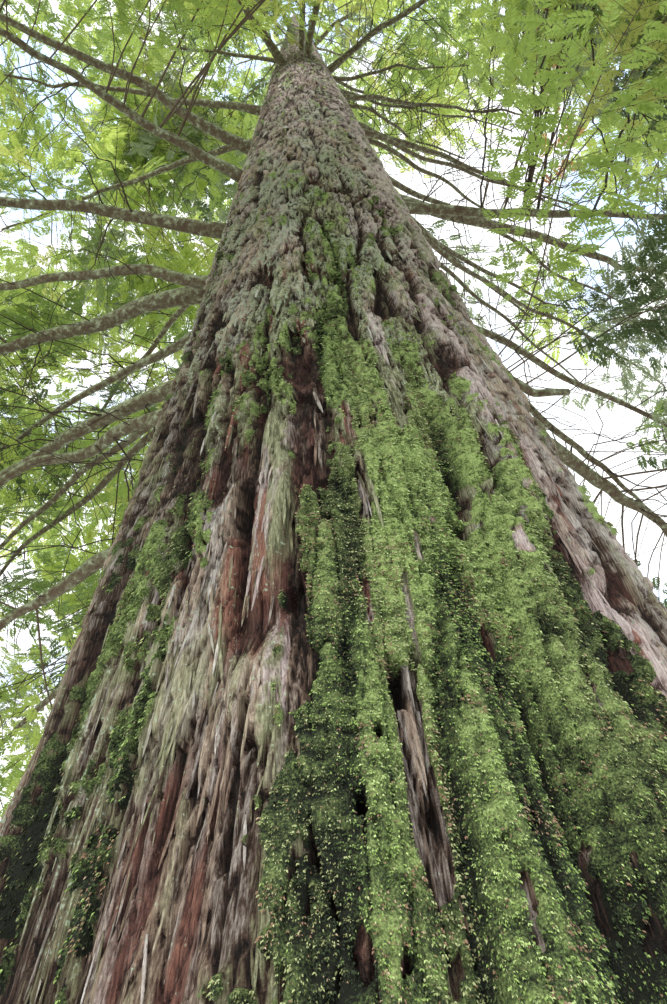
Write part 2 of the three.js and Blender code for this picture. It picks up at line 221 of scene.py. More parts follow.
def bezier_ahead(foot, knee, end, t):
    t = np.asarray(t, float)[..., None]
    return unit((1 - t) * (knee - foot) + t * (end - knee))


def camera_axes():
    """The picture's right, the picture's up, and the direction that the camera looks in."""
    sy, cy, sp, cp = np.sin(TURN), np.cos(TURN), np.sin(LOOK_UP), np.cos(LOOK_UP)
    level = np.array([cy, -sy, 0])
    ahead = np.array([sy * cp, cy * cp, sp])
    over = np.array([-sy * sp, -cy * sp, cp])
    right = np.cos(ROLL) * level + np.sin(ROLL) * over
    return right, -np.sin(ROLL) * level + np.cos(ROLL) * over, ahead


RIGHT, OVER, AHEAD = camera_axes()


def project(points):
    d = points - EYE
    depth = d @ AHEAD
    scale = FOCAL / np.maximum(depth, 0.1)
    return MIDDLE[0] + (d @ RIGHT) * scale, MIDDLE[1] - (d @ OVER) * scale, depth


def at_pixel(x, y, depth):
    """The place behind a pixel, at a depth in metres."""
    return EYE + depth * (AHEAD + RIGHT * (x - MIDDLE[0]) / FOCAL + OVER * (MIDDLE[1] - y) / FOCAL)


def seen(points):
    """Whether the camera sees these places: inside the frame, and not behind the trunk."""
    x, y, depth = project(points)
    across, down = np.abs(x - MIDDLE[0]), np.abs(y - MIDDLE[1])
    inside = (depth > 0) & (across < MIDDLE[0] + FRAME_MARGIN) & (down < MIDDLE[1] + FRAME_MARGIN)
    for share in np.linspace(0.1, 0.95, SIGHT_STEPS):
        between = mix(EYE, points, share)
        azimuth = np.degrees(np.arctan2(between[:, 0], -between[:, 1]))
        hiding = HIDING_SHARE * trunk_radius(between[:, 2], azimuth)
        inside &= np.hypot(between[:, 0], between[:, 1]) > hiding
    return inside


# Seeded numbers and noise on the trunk's surface
def seeded(seed):
    """The source's own rule for its numbers from 0 to 1."""
    state = seed
    while True:
        state = (state * 1664525 + 1013904223) % 2**32
        yield state / 2**32


def dealt(column, row, seed):
    """A number from 0 to 1 for each place of a lattice."""
    n = column.astype(np.uint32) * np.uint32(374761393) + row.astype(np.uint32) * np.uint32(668265263)
    n = n + np.uint32(seed * 97463477 % 2**32)
    n = (n ^ (n >> np.uint32(13))) * np.uint32(1274126177)
    n = (n ^ (n >> np.uint32(16))) * np.uint32(2246822519)
    return ((n >> np.uint32(8)) & np.uint32(0xFFFF)) / 65535.0


def noise(turn, height, columns, row, seed):
    """Smooth noise from 0 to 1. turn is a share of the way round, and row the height of a lattice row."""
    u, v = turn * columns, height / row
    i, j = np.floor(u).astype(np.int64), np.floor(v).astype(np.int64)
    s, t = smoothstep(0, 1, u - i), smoothstep(0, 1, v - j)
    corner = lambda a, b: dealt((i + a) % columns, j + b + 4096, seed)
    return mix(mix(corner(0, 0), corner(1, 0), s), mix(corner(0, 1), corner(1, 1), s), t)


def plates(turn, height, columns, row, seed):
    """Irregular plates: the distance in from a plate's edge, a number dealt to it, and the place up it."""
    u, v = turn * columns, height / row
    i, j = np.floor(u).astype(np.int64), np.floor(v).astype(np.int64)
    nearest = np.full(u.shape, 9.0)
    second = nearest.copy()
    value = np.zeros(u.shape)
    up = np.zeros(u.shape)
    for a in (-1, 0, 1):
        for b in (-1, 0, 1):
            column, line = (i + a) % columns, j + b + 4096
            across = i + a + 0.1 + 0.8 * dealt(column, line, seed) - u
            along = j + b + 0.1 + 0.8 * dealt(column, line, seed + 1) - v
            apart = (across**4 + along**4) ** 0.25
            closer = apart < nearest
            second = np.where(closer, nearest, np.minimum(second, apart))
            value = np.where(closer, dealt(column, line, seed + 2), value)
            up = np.where(closer, -along, up)
            nearest = np.minimum(nearest, apart)
    return second - nearest, value, up


# The bark and the moss on it
GRAIN_SWAY = [(16, 1.3, 0.011), (70, 0.35, 0.0026), (210, 0.12, 0.0009)]  # columns, row height, turns
RAGGED = (420, 2.5, 0.34)  # columns, row height and size of the jagged ends of the plates, in metres
SCALY_FROM, SCALY_OVER, SCALY_GAIN = 5.0, 1.2, 1.7  # above this height the plates get shorter
MOSS_PATCHES = [  # azimuth, height, half width in degrees, half height, thickness
    (9, 2.0, 18, 0.9, 1.1),
    (25, 2.2, 10, 0.7, 0.9),
    (13, 3.0, 19, 0.75, 1.0),
    (13, 3.75, 15, 0.6, 0.8),
    (2, 4.5, 5.5, 0.8, 0.95),
    (13, 4.6, 9, 0.7, 0.5),
    (24, 4.4, 6, 0.5, 0.45),
    (-14, 4.75, 8, 0.6, 0.5),
    (7, 5.7, 4, 0.7, 0.7),
    (-30, 2.55, 4, 0.5, 0.56),
    (-50, 2.8, 7, 0.7, 0.5),
    (-40, 3.5, 4, 0.35, 0.8),
    (-30, 4.1, 5, 0.45, 0.55),
    (-12, 4.15, 3, 0.5, 0.45),
    (-7, 2.25, 4, 0.35, 0.45),
    (2, 6.6, 8, 1.2, 0.4),
    (74, 1.6, 13, 1.5, 1.0),
    (122, 1.2, 15, 1.2, 0.9),
    (170, 1.8, 16, 1.5, 1.0),
    (-75, 1.2, 9, 1.1, 0.8),
    (-120, 1.7, 15, 1.4, 0.95),
]
BARE_PATCHES = [  # the same, taken away
    (4.5, 2.5, 1.6, 0.27, 2.4),
    (-14, 2.7, 7, 0.8, 0.6),
    (48, 3.3, 8, 0.7, 1.2),
    (-6.5, 2.85, 1.3, 0.3, 1.2),
    (-4.5, 4.1, 2.2, 0.45, 1.1),
    (-14, 3.95, 1.6, 0.25, 1.0),
    (12.5, 4.6, 2.2, 0.65, 0.8),
    (2.4, 4.03, 0.6, 0.14, 0.8),
    (17, 2.93, 1.1, 0.05, 1.1),
    (16.3, 2.76, 0.9, 0.035, 1.0),
    (25.7, 3.33, 1.1, 0.07, 1.6),
    (36.2, 3.12, 2.6, 0.1, 1.6),
    (13.2, 3.42, 1.5, 0.05, 0.8),
    (-2.0, 2.14, 0.8, 0.05, 0.9),
    (26, 2.76, 0.7, 0.1, 0.8),
    (1.6, 3.0, 0.7, 0.13, 1.3),
    (6.6, 2.95, 0.6, 0.16, 1.2),
    (9.5, 3.25, 0.6, 0.08, 1.1),
    (3.2, 3.62, 0.8, 0.2, 1.0),
    (20, 2.3, 0.8, 0.12, 0.9),
    (11, 2.2, 0.6, 0.1, 0.9),
]
FILM_PATCHES = [  # a thin olive film on the bark, too thin to stand out
    (14, 5.3, 16, 1.3, 0.5),
    (-16, 4.7, 10, 0.9, 0.5),
    (3, 7.2, 16, 1.6, 0.25),
    (-32, 3.1, 5, 1.1, 0.2),
    (-50, 2.9, 10, 1.3, 0.5),
    (-10, 2.4, 3, 0.5, 0.5),
]
MAUVE_PATCHES = [  # smooth plates of a pinkish grey
    (-8.6, 2.75, 1.1, 0.2, 1.2),
    (-14.8, 3.62, 1.6, 0.2, 1.0),
    (-11, 3.35, 3.2, 0.33, 1.0),
    (6.6, 2.95, 0.6, 0.16, 0.8),
    (36.2, 3.12, 2.6, 0.1, 1.1),
    (25.7, 3.33, 1.1, 0.07, 0.9),
    (43, 3.0, 6, 0.5, 1.2),
    (12.5, 4.6, 2, 0.6, 0.9),
    (32, 5.2, 7, 1.0, 0.5),
    (38, 7.5, 10, 1.6, 0.5),
    (-8, 15, 16, 2.5, 0.5),
]
HOLLOWS = [  # hollows, which the level and the crest also paint dark as shade: azimuth, height, half width in degrees, half height, depth
    (-18.0, 3.66, 1.2, 0.16, 0.11),
    (3.6, 2.73, 0.9, 0.06, 0.09),
    (17.6, 3.42, 2.0, 0.035, 0.07),
    (19.5, 3.72, 1.4, 0.05, 0.07),
    (41, 3.75, 1.2, 0.1, 0.07),
    (-7.6, 3.03, 0.7, 0.05, 0.06),
    (-11.5, 2.63, 0.5, 0.05, 0.06),
    (0.9, 2.55, 0.35, 0.018, 0.04),
    (-12.4, 2.34, 0.5, 0.05, 0.06),
    (30, 2.75, 1.1, 0.09, 0.05),
    (-1.2, 2.38, 0.5, 0.025, 0.04),
]
RED_PATCHES = [  # where the red inner bark shows most: azimuth, height, half width, half height, share
    (-18, 3.35, 2.6, 0.3, 1.3),
    (-16, 2.12, 1.9, 0.26, 1.7),
    (1.6, 3.0, 0.7, 0.14, 1.2),
    (-17.5, 2.75, 2.2, 0.45, 0.8),
    (-11.5, 3.1, 1.2, 0.4, 0.9),
    (-21, 2.3, 1.5, 0.4, 0.45),
    (-6.5, 4.5, 1.6, 0.5, 0.8),
    (-22, 5.2, 2, 1.0, 0.8),
    (50, 3.9, 5, 0.8, 0.5),
    (-4.6, 3.95, 0.9, 0.2, 1.0),
    (-3.8, 5.8, 0.9, 0.3, 0.9),
    (-18.4, 6.2, 1.4, 0.5, 0.9),
    (-24, 8.0, 2, 0.8, 0.8),
    (17, 2.93, 1.1, 0.05, 1.0),
    (16.3, 2.76, 0.9, 0.035, 1.0),
    (13.2, 3.42, 1.5, 0.05, 0.9),
]
# Layers of plates: columns, row height, width of the cracks, then step, tilt and cut in metres
PLATES = (132, 1.0, 0.09, 0.024, 0.018, 0.02)
STRIPS = (400, 0.3, 0.16, 0.012, 0.009, 0.008)
FIBRES = [(1300, 0.12, 0.004)]  # columns, row height, size, as in the next ones
WEB, WEB_RIPPLES = (34, 2.4), [(96, 0.9, 0.4)]  # the furrows lie where this noise is in its middle
FURROW_WIDTH, FURROW_DEPTH = 0.13, (0.022, 0.05)  # depth in metres, high up and low down
MOSS_EDGE = [(46, 0.5, 1.0), (140, 0.13, 0.9), (420, 0.04, 0.8)]
MOSS_GAPS, MOSS_LOBES, MOSS_LUMPS, MOSS_BEADS = (90, 0.5), (60, 0.8), (230, 0.03), (420, 0.014)
RED_RIPPLES, MAUVE_RIPPLES, LICHEN = [(110, 0.45, 1.3)], [(50, 0.9, 0.9)], (40, 0.45)
CREST_BY_HEIGHT = [(2.3, 2.9, 0.1), (2.8, 3.5, 0.12), (2.8, 2.3, -0.13)]  # from, to, what is added
LEVEL_BY_HEIGHT = [(2.5, 3.1, 0.1), (4.5, 8, 0.12), (8, 14, -0.24), (2.7, 2.2, -0.18)]


def patches(rows, azimuth, height, power=4):
    """Soft-edged patches, softer with a power of 2."""
    total = 0
    for at, up, wide, tall, share in rows:
        across = degrees_between(azimuth, at) / wide
        total = total + share * np.exp(-(across**power) - ((height - up) / tall) ** power)
    return total


def rippled(start, rows, turn, height, seed):
    """Adds noise from -0.5 to 0.5 of each row's columns, row height and size."""
    for i, (columns, row, size) in enumerate(rows):
        start = start + size * (noise(turn, height, columns, row, seed + i) - 0.5)
    return start


def graded(start, rows, x):
    """Adds each row's gain, more and more from its first place to its second."""
    for low, high, gain in rows:
        start = start + gain * smoothstep(low, high, x)
    return start


def bark_grain(azimuth, height):
    """Place along and across the swaying fibres, as a share of a turn and in metres."""
    turn = azimuth / 360 + 0.5
    bent = rippled(turn, GRAIN_SWAY, turn, height, 11)
    climb = np.logaddexp(0, (height - SCALY_FROM) / SCALY_OVER) * SCALY_OVER
    return turn, bent, height + SCALY_GAIN * climb, rippled(0, [RAGGED], bent, height, 15)


def plated(bent, grain, kind, seed):
    """A layer of plates: its relief in metres, its cracks, and the number dealt to each plate."""
    columns, row, width, step, tilt, cut = kind
    edge, value, up = plates(bent, grain, columns, row, seed)
    crack = 1 - smoothstep(0.0, width, edge)
    return step * (value - 0.5) - tilt * up - cut * crack, crack, value


def moss_at(turn, azimuth, height, groove):
    """The moss's cover, and the film of it on the bark round it."""
    rough = rippled(0, MOSS_EDGE, turn, height, 61)
    gaps = smoothstep(0.52, 0.8, noise(turn, height, *MOSS_GAPS, 64)) * smoothstep(2.6, 4.4, height)
    wish = np.minimum(patches(MOSS_PATCHES, azimuth, height), 1.1)
    wish = wish - patches(BARE_PATCHES, azimuth, height)
    film = wish + patches(FILM_PATCHES, azimuth, height) + 0.6 * rough
    return smoothstep(0.36, 0.62, wish + rough - 0.4 * groove - 0.8 * gaps), smoothstep(0.1, 0.8, film)


def red_at(bent, grain, azimuth, height, furrow, value):
    """The share of red inner bark, by its patches, the furrows and the finer strips."""
    red = 0.75 * patches(RED_PATCHES, azimuth, height, 2) + 0.5 * furrow * smoothstep(12, 3, height)
    red = rippled(red, RED_RIPPLES, bent, grain, 81) - 0.8 * (value - 0.4)
    return red - 0.3 * smoothstep(-38, -50, azimuth)


def lichen_at(turn, azimuth, height):
    """The share of grey-green flecks: more of them high up and on the left."""
    lichen = smoothstep(2.2, 6.5, height) * mix(1, 0.45, smoothstep(20, 45, azimuth))
    lichen = np.maximum(lichen, 0.6 * smoothstep(-22, -40, azimuth))
    return lichen * smoothstep(0.2, 0.8, noise(turn, height, *LICHEN, 91))


def bark_at(azimuth, height):
    """How far the bark and moss stand out of the solid, what lies there, and the painted shade of the
    bark's cracks and hollows and painted light and shade on the moss's lumps, as shares from 0 to 1.
    """
    turn, bent, grain, ragged = bark_grain(azimuth, height)
    web = rippled(noise(bent, grain, *WEB, 21), WEB_RIPPLES, bent, grain, 22)
    furrow = 1 - smoothstep(0.0, FURROW_WIDTH, np.abs(web - 0.5))
    shape, crack, value = plated(bent, grain + ragged, PLATES, 31)
    strip, fine_crack, fine_value = plated(bent, grain + 0.5 * ragged, STRIPS, 41)
    strip = rippled(strip, FIBRES, bent, grain, 51)
    depth = mix(*FURROW_DEPTH, smoothstep(16, 5, height)) * furrow
    mauve = patches(MAUVE_PATCHES, azimuth, height)
    smooth = 1 - 0.75 * np.clip(mauve, 0, 1) * smoothstep(5, 3.5, height)
    shape, strip = shape * smooth, strip * smooth
    hollow = patches([row[:4] + (1,) for row in HOLLOWS], azimuth, height)
    moss, film = moss_at(turn, azimuth, height, crack)
    moss = moss * (1 - smoothstep(0.2, 0.8, hollow))
    lump = 0.5 * noise(turn, height, *MOSS_LUMPS, 71) + 0.5 * noise(turn, height, *MOSS_BEADS, 72)
    lobes = noise(turn, height, *MOSS_LOBES, 73) - 0.5
    # The crest paints light and shade into the moss: lighter on its lumps and lobes, darker in the
    # furrows, cracks and hollows.
    crest = 0.55 + 0.3 * lobes + 0.6 * (lump - 0.5) - 0.35 * furrow - 0.25 * crack - hollow
    crest = graded(crest, CREST_BY_HEIGHT, height) - 0.2 * smoothstep(-20, -30, azimuth)
    bark_out = (shape + strip - depth) * mix(1, 0.6, moss)
    moss_out = moss * (0.004 + 0.022 * lump + 0.03 * lobes)
    out = bark_out + moss_out - patches(HOLLOWS, azimuth, height)
    scaly = smoothstep(4.5, 8, height)
    # The level paints shade into the bark: near black in the cracks, furrows and hollows, and lighter on
    # the raised plates.
    level = 0.6 + (0.6 * shape + strip - 0.8 * depth) / 0.06 - 0.9 * hollow
    level = level - smooth * (mix(0.3, 0.45, scaly) * crack + mix(0.25, 0.4, scaly) * fine_crack)
    level = level + 0.8 * (1 - smooth) * (0.62 - level)
    level = graded(level, LEVEL_BY_HEIGHT, height)
    level = level - 0.17 * smoothstep(-26, -34, azimuth) * (azimuth > -90)
    mauve = mauve + 0.4 * smoothstep(20, 42, azimuth) * (azimuth < 90)
    mauve = rippled(mauve, MAUVE_RIPPLES, bent, grain, 92) + 0.3 * smoothstep(5, 8, height)
    return {
        "out": out * np.minimum(1, trunk_radius(height, azimuth) / 0.6),
        "level": np.clip(level, 0, 1),
        "moss": moss,
        "crest": np.clip(crest, 0, 1),
        "inner": np.clip(red_at(bent, grain, azimuth, height, furrow, fine_value), 0, 1),
        "tone": mix(value, fine_value, 0.45),
        "lichen": np.clip(lichen_at(turn, azimuth, height), 0, 1),
        "film": film,
        "mauve": np.clip(mauve, 0, 1),
    }


# Meshes from arrays
def mesh_object(name, points, faces, materials, slots=None, attributes=None, smooth=True):
    """faces is a list of arrays of corner numbers, one array for each number of corners."""
    points = np.asarray(points, np.float32).reshape(-1, 3)
    faces = [f for f in faces if len(f)]
    corners = np.concatenate([f.ravel() for f in faces])
    sizes = np.concatenate([np.full(len(f), f.shape[1]) for f in faces])
    mesh = bpy.data.meshes.new(name)
    mesh.vertices.add(len(points))
    mesh.vertices.foreach_set("co", points.ravel())
    mesh.loops.add(len(corners))
    mesh.loops.foreach_set("vertex_index", corners.astype(np.int32))
    mesh.polygons.add(len(sizes))
    mesh.polygons.foreach_set("loop_start", (np.cumsum(sizes) - sizes).astype(np.int32))
    mesh.polygons.foreach_set("use_smooth", np.full(len(sizes), smooth))
    for material in materials:
        mesh.materials.append(material)
    if slots is not None:
        mesh.polygons.foreach_set("material_index", np.ascontiguousarray(slots, np.int32))
    for key, values in (attributes or {}).items():
        layer = mesh.attributes.new(key, "FLOAT", "POINT")
        layer.data.foreach_set("value", np.ascontiguousarray(values, np.float32).ravel())
    mesh.update()
    mesh.validate()
    piece = bpy.data.objects.new(name, mesh)
    bpy.context.scene.collection.objects.link(piece)
    return piece


def tubes(paths, radii, sides):
    """Points, quads and caps of tubes along paths that all have as many points."""
    count, steps = paths.shape[:2]
    ahead = unit(np.gradient(paths, axis=1))
    steep = np.abs(ahead[..., 2:3]) > 0.97
    flat = np.where(steep, np.array([1.0, 0, 0]), UP)
    side = unit(np.cross(ahead, flat))
    over = np.cross(side, ahead)
    turn = np.arange(sides) * 2 * np.pi / sides
    wheel = side[:, :, None] * np.cos(turn)[:, None] + over[:, :, None] * np.sin(turn)[:, None]
    radii = radii[..., None] if radii.ndim == 2 else radii
    points = (paths[:, :, None] + wheel * radii[..., None]).reshape(-1, 3)
    index = np.arange(count * steps * sides).reshape(count, steps, sides)
    low, high = index[:, :-1], index[:, 1:]
    quads = np.stack([low, high, np.roll(high, -1, 2), np.roll(low, -1, 2)], -1)
    caps = np.concatenate([index[:, 0], index[:, -1, ::-1]])
    return points, quads.reshape(-1, 4), caps


def join_tubes(lots):
    """Lots of tubes as one mesh: its points, its quads and its caps."""
    points, quads, caps, total = [], [], [], 0
    for place, sides, ends in lots:
        points.append(place)
        quads.append(sides + total)
        caps.append(ends + total)
        total += len(place)
    return np.concatenate(points), np.concatenate(quads), caps


def belongs(piece, slot, *nodes):
    """Says what a piece rides on and which solids it stands for; slot, the name of its finish, is not
    used.
    """
    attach(piece, "root")
    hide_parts(*nodes)


# Materials
class Nodes:
    """A tree of shader nodes, with short words for those that it uses."""

    def __init__(self, tree):
        self.tree = tree

    def plug(self, socket, value):
        if isinstance(value, bpy.types.NodeSocket):
            self.tree.links.new(value, socket)
        elif isinstance(value, tuple) and len(value) == 3 and socket.type == "RGBA":
            socket.default_value = (*value, 1)
        else:
            socket.default_value = value

    def add(self, kind, inputs, **settings):
        node = self.tree.nodes.new("ShaderNode" + kind)
        for key, value in settings.items():
            setattr(node, key, value)
        for key, value in inputs.items():
            self.plug(node.inputs[key], value)
        return node

    def share(self, name):
        return self.add("Attribute", {}, attribute_name=name).outputs["Fac"]

    def noise(self, scale, stretch=1.0, detail=4.0, rough=0.55):
        """Noise in cells of scale metres, stretched upwards."""
        place = self.add("TexCoord", {}).outputs["Object"]
        size = (1 / scale, 1 / scale, 1 / (scale * stretch))
        mapped = self.add("Mapping", {"Vector": place, "Scale": size}).outputs["Vector"]
        inputs = {"Vector": mapped, "Scale": 1.0, "Detail": detail, "Roughness": rough}
        return self.add("TexNoise", inputs).outputs["Fac"]

    def sums(self, operation, a, b):
        return self.add("Math", {0: a, 1: b}, operation=operation).outputs[0]

    def times(self, a, b):
        return self.sums("MULTIPLY", a, b)

    def plus(self, a, b, gain=1, middle=0):
        """a, and gain times what b is above the middle."""
        b = self.sums("SUBTRACT", b, middle) if middle else b
        return self.sums("ADD", a, self.times(b, gain) if gain != 1 else b)

    def rise(self, value, low, high):
        """0 below low, 1 above high."""
        inputs = {"Value": value, "From Min": low, "From Max": high}
        return self.add("MapRange", inputs, interpolation_type="SMOOTHSTEP").outputs[0]

    def ramp(self, value, stops):
        node = self.add("ValToRGB", {"Fac": value})
        elements = node.color_ramp.elements
        while len(elements) < len(stops):
            elements.new(0.5)
        for element, (at, colour) in zip(elements, stops):
            element.position = at
            element.color = (*colour, 1)
        return node.outputs["Color"]

    def blend(self, share, a, b, how="MIX"):
        node = self.add("Mix", {}, data_type="RGBA", blend_type=how)
        for socket, value in ((0, share), (6, a), (7, b)):
            self.plug(node.inputs[socket], value)
        return node.outputs[2]

    def bump(self, height, distance, strength, **below):
        inputs = {"Height": height, "Distance": distance, "Strength": strength, **below}
        return self.add("Bump", inputs).outputs["Normal"]


class Shader(Nodes):
    """A node material."""

    def __init__(self, name, roughness):
        self.material = bpy.data.materials.new(name)
        self.material.use_nodes = True
        super().__init__(self.material.node_tree)
        self.surface = self.tree.nodes["Principled BSDF"]
        self.surface.inputs["Roughness"].default_value = roughness
        self.surface.inputs["Specular IOR Level"].default_value = 0.25

    def finish(self, colour, normal=None):
        self.plug(self.surface.inputs["Base Color"], colour)
        if normal is not None:
            self.plug(self.surface.inputs["Normal"], normal)
        return self.material


def trunk_bark():
    s = Shader("trunk_bark", roughness=0.9)
    fibre = s.noise(0.005, stretch=18, detail=3)
    grit = s.noise(0.012, detail=6, rough=0.7)
    broad = s.noise(0.3, stretch=3, detail=3)
    level = s.plus(s.share("level"), fibre, 0.9, 0.5)
    tone = s.share("tone")

    # These ramps follow the level: near black in the cracks and hollows, which is painted shade, and
    # lighter on the raised plates.
    def shades(middle, crest, low=(0.06, 0.034, 0.024)):
        return s.ramp(level, [(0.0, (0.01, 0.007, 0.006)), (0.2, low), (0.5, middle), (1.0, crest)])

    grey = shades((0.285, 0.245, 0.222), (0.62, 0.575, 0.54))
    brown = shades((0.235, 0.165, 0.125), (0.52, 0.415, 0.335))
    olive = shades((0.155, 0.152, 0.085), (0.39, 0.39, 0.245))
    pink = shades((0.4, 0.31, 0.3), (0.7, 0.6, 0.58), low=(0.1, 0.06, 0.05))
    warm = s.ramp(level, [
        (0.0, (0.022, 0.009, 0.007)),
        (0.3, (0.095, 0.04, 0.031)),
        (0.65, (0.22, 0.098, 0.07)),
        (1.0, (0.36, 0.205, 0.155)),
    ])
    bark = s.blend(s.rise(tone, 0.35, 0.65), grey, brown)
    bark = s.blend(s.rise(s.plus(s.share("mauve"), grit, 0.3), 0.45, 0.8), bark, pink)
    patch = s.plus(s.plus(broad, tone, 0.25), s.share("film"), 0.35)
    bark = s.blend(s.rise(patch, 0.62, 0.86), bark, olive)
    bark = s.blend(s.rise(s.plus(s.share("inner"), grit, 0.5, 0.5), 0.35, 0.8), bark, warm)
    streak = s.ramp(fibre, [(0.3, (0.5, 0.46, 0.44)), (0.65, (1.3, 1.3, 1.28))])
    bark = s.blend(0.6, bark, streak, "MULTIPLY")
    fleck = s.noise(0.014, detail=2, rough=0.4)
    spots = s.rise(s.plus(fleck, s.share("lichen"), 0.2), 0.66, 0.74)
    pale = s.blend(s.noise(0.05), (0.24, 0.29, 0.18), (0.52, 0.6, 0.46))
    bark = s.blend(s.times(spots, s.rise(level, 0.25, 0.6)), bark, pale)
    # Painted light and shade on the moss: fine noise for dark gaps and highlights among the fronds, and
    # the crest for near black valleys and bright lumps.
    tuft = s.noise(0.0055, detail=3, rough=0.6)
    clump = s.noise(0.06, stretch=1.6, detail=4)
    light = s.sums("SUBTRACT", s.plus(s.times(tuft, 0.9), clump, 0.3), 0.12)
    green = s.ramp(s.plus(light, s.share("crest"), 0.7, 0.5), [
        (0.26, (0.008, 0.01, 0.005)),
        (0.4, (0.054, 0.074, 0.026)),
        (0.56, (0.155, 0.202, 0.066)),
        (0.74, (0.33, 0.425, 0.145)),
    ])
    cover = s.plus(s.share("moss"), grit, 1.3, 0.5)
    rough = s.bump(s.plus(grit, tuft), 0.008, 0.9, Normal=s.bump(fibre, 0.007, 0.9))
    return s.finish(s.blend(s.rise(cover, 0.38, 0.54), bark, green), rough)


def bough_bark():
    s = Shader("bough_bark", roughness=0.8)
    spread = s.noise(0.06, detail=5, rough=0.7)
    grain = s.noise(0.014, detail=4)
    cracks = s.noise(0.022, detail=6, rough=0.75)
    skin = s.ramp(spread, [
        (0.36, (0.085, 0.055, 0.038)),
        (0.44, (0.16, 0.16, 0.095)),
        (0.54, (0.25, 0.275, 0.17)),
        (0.68, (0.48, 0.51, 0.37)),
    ])
    # Painted shade: the bark turns dark brown on the undersides of the boughs, where the normal points
    # down.
    normal = s.add("NewGeometry", {}).outputs["Normal"]
    upward = s.add("SeparateXYZ", {"Vector": normal}).outputs["Z"]
    under = s.rise(s.plus(upward, spread, 3.5, 0.5), 0.0, -1.0)
    skin = s.blend(s.times(under, 0.75), skin, (0.11, 0.062, 0.045))
    skin = s.blend(s.rise(grain, 0.56, 0.72), skin, (0.15, 0.19, 0.07))
    skin = s.blend(s.rise(cracks, 0.58, 0.66), skin, (0.03, 0.02, 0.014))
    return s.finish(skin, s.bump(s.plus(cracks, grain), 0.012, 0.8))


def plain(name, colour, roughness=0.85):
    return Shader(name, roughness).finish(colour)


def leafy(name, colour, through, share):
    """A leaf that light shines through."""
    s = Shader(name, roughness=0.55)
    glow = s.add("BsdfTranslucent", {"Color": through})
    mixed = s.add("MixShader", {0: share, 1: s.surface.outputs[0], 2: glow.outputs[0]})
    s.plug(s.tree.nodes["Material Output"].inputs["Surface"], mixed.outputs[0])
    return s.finish(colour)


BARK = trunk_bark()
BOUGH = bough_bark()
TWIGS = [plain("twig_dark", (0.06, 0.042, 0.032)), plain("twig_brown", (0.115, 0.08, 0.055))]
NEEDLES = [
    leafy("needles_lime", (0.345, 0.44, 0.105), (0.56, 0.66, 0.165), 0.6),
    leafy("needles_fresh", (0.25, 0.345, 0.09), (0.43, 0.55, 0.145), 0.6),
    leafy("needles_yellow", (0.46, 0.49, 0.145), (0.68, 0.71, 0.23), 0.6),
    leafy("needles_green", (0.17, 0.24, 0.075), (0.3, 0.41, 0.12), 0.5),
    leafy("needles_deep", (0.085, 0.12, 0.052), (0.15, 0.21, 0.075), 0.45),
    leafy("needles_grey", (0.24, 0.27, 0.175), (0.36, 0.42, 0.24), 0.45),
    leafy("needles_brown", (0.4, 0.21, 0.095), (0.56, 0.3, 0.12), 0.4),
]
# Dark, green, fresh and bright partly stand in for painted shade and light, as tufts get them by the
# crest; brown, olive, pale and tan are real tints.
MOSSES = [
    plain("moss_dark", (0.035, 0.048, 0.024), 0.95),
    plain("moss_green", (0.12, 0.178, 0.055), 0.95),
    plain("moss_fresh", (0.27, 0.375, 0.11), 0.95),
    plain("moss_bright", (0.46, 0.56, 0.235), 0.95),
    plain("moss_brown", (0.27, 0.165, 0.105), 0.95),
    plain("moss_olive", (0.185, 0.2, 0.085), 0.95),
    plain("moss_pale", (0.38, 0.41, 0.2), 0.95),
    plain("moss_tan", (0.4, 0.31, 0.2), 0.95),
]


# Trunk
TRUNK_BANDS = [  # top of the band, columns round, height of a row
    (2.0, 160, 0.034),
    (2.75, 640, 0.009),
    (3.7, 640, 0.0105),
    (5.2, 320, 0.0125),
    (8.5, 320, 0.026),
    (18.5, 160, 0.05),
    (TRUNK_HEIGHT, 80, 0.17),
]
FRONT_CROWDING = 0.62  # 0 spreads the columns evenly, and more crowds them on the camera's side


def column_azimuths(count):
    turn = np.arange(count) / count * 2 - 1
    return 180 * (turn - FRONT_CROWDING / np.pi * np.sin(np.pi * turn))


def surface_points(azimuth, height, out):
    radius = trunk_radius(height, azimuth) + out
    points = outward(azimuth) * radius[..., None]
    points[..., 2] = height
    return points


def seal(row, ratio):
    """Puts a border row's extra points on the straight edges of the coarser band beside it."""
    kept = row[::ratio]
    after = np.roll(kept, -1, 0)
    for step in range(1, ratio):
        row[step::ratio] = mix(kept, after, step / ratio)


def make_trunk():
    floor = 0.0
    for band, (top, columns, row) in enumerate(TRUNK_BANDS):
        rows = round((top - floor) / row) + 1
        height = np.linspace(floor, top, rows)[:, None] * np.ones(columns)
        azimuth = column_azimuths(columns)[None] * np.ones((rows, 1))
        bark = bark_at(azimuth, height)
        points = surface_points(azimuth, height, bark.pop("out"))
        for edge, beside in ((0, band - 1), (-1, band + 1)):
            if 0 <= beside < len(TRUNK_BANDS) and TRUNK_BANDS[beside][1] < columns:
                seal(points[edge], columns // TRUNK_BANDS[beside][1])
        index = np.arange(rows * columns).reshape(rows, columns)
        low, high = index[:-1], index[1:]
        quads = np.stack([low, np.roll(low, -1, 1), np.roll(high, -1, 1), high], -1).reshape(-1, 4)
        foot = index[:1, ::-1] if band == 0 else []
        tip = index[-1:] if band == len(TRUNK_BANDS) - 1 else []
        piece = mesh_object(f"trunk_{band + 1}", points, [quads, foot, tip], [BARK], attributes=bark)
        belongs(piece, "bark", "trunk")
        floor = top


make_trunk()


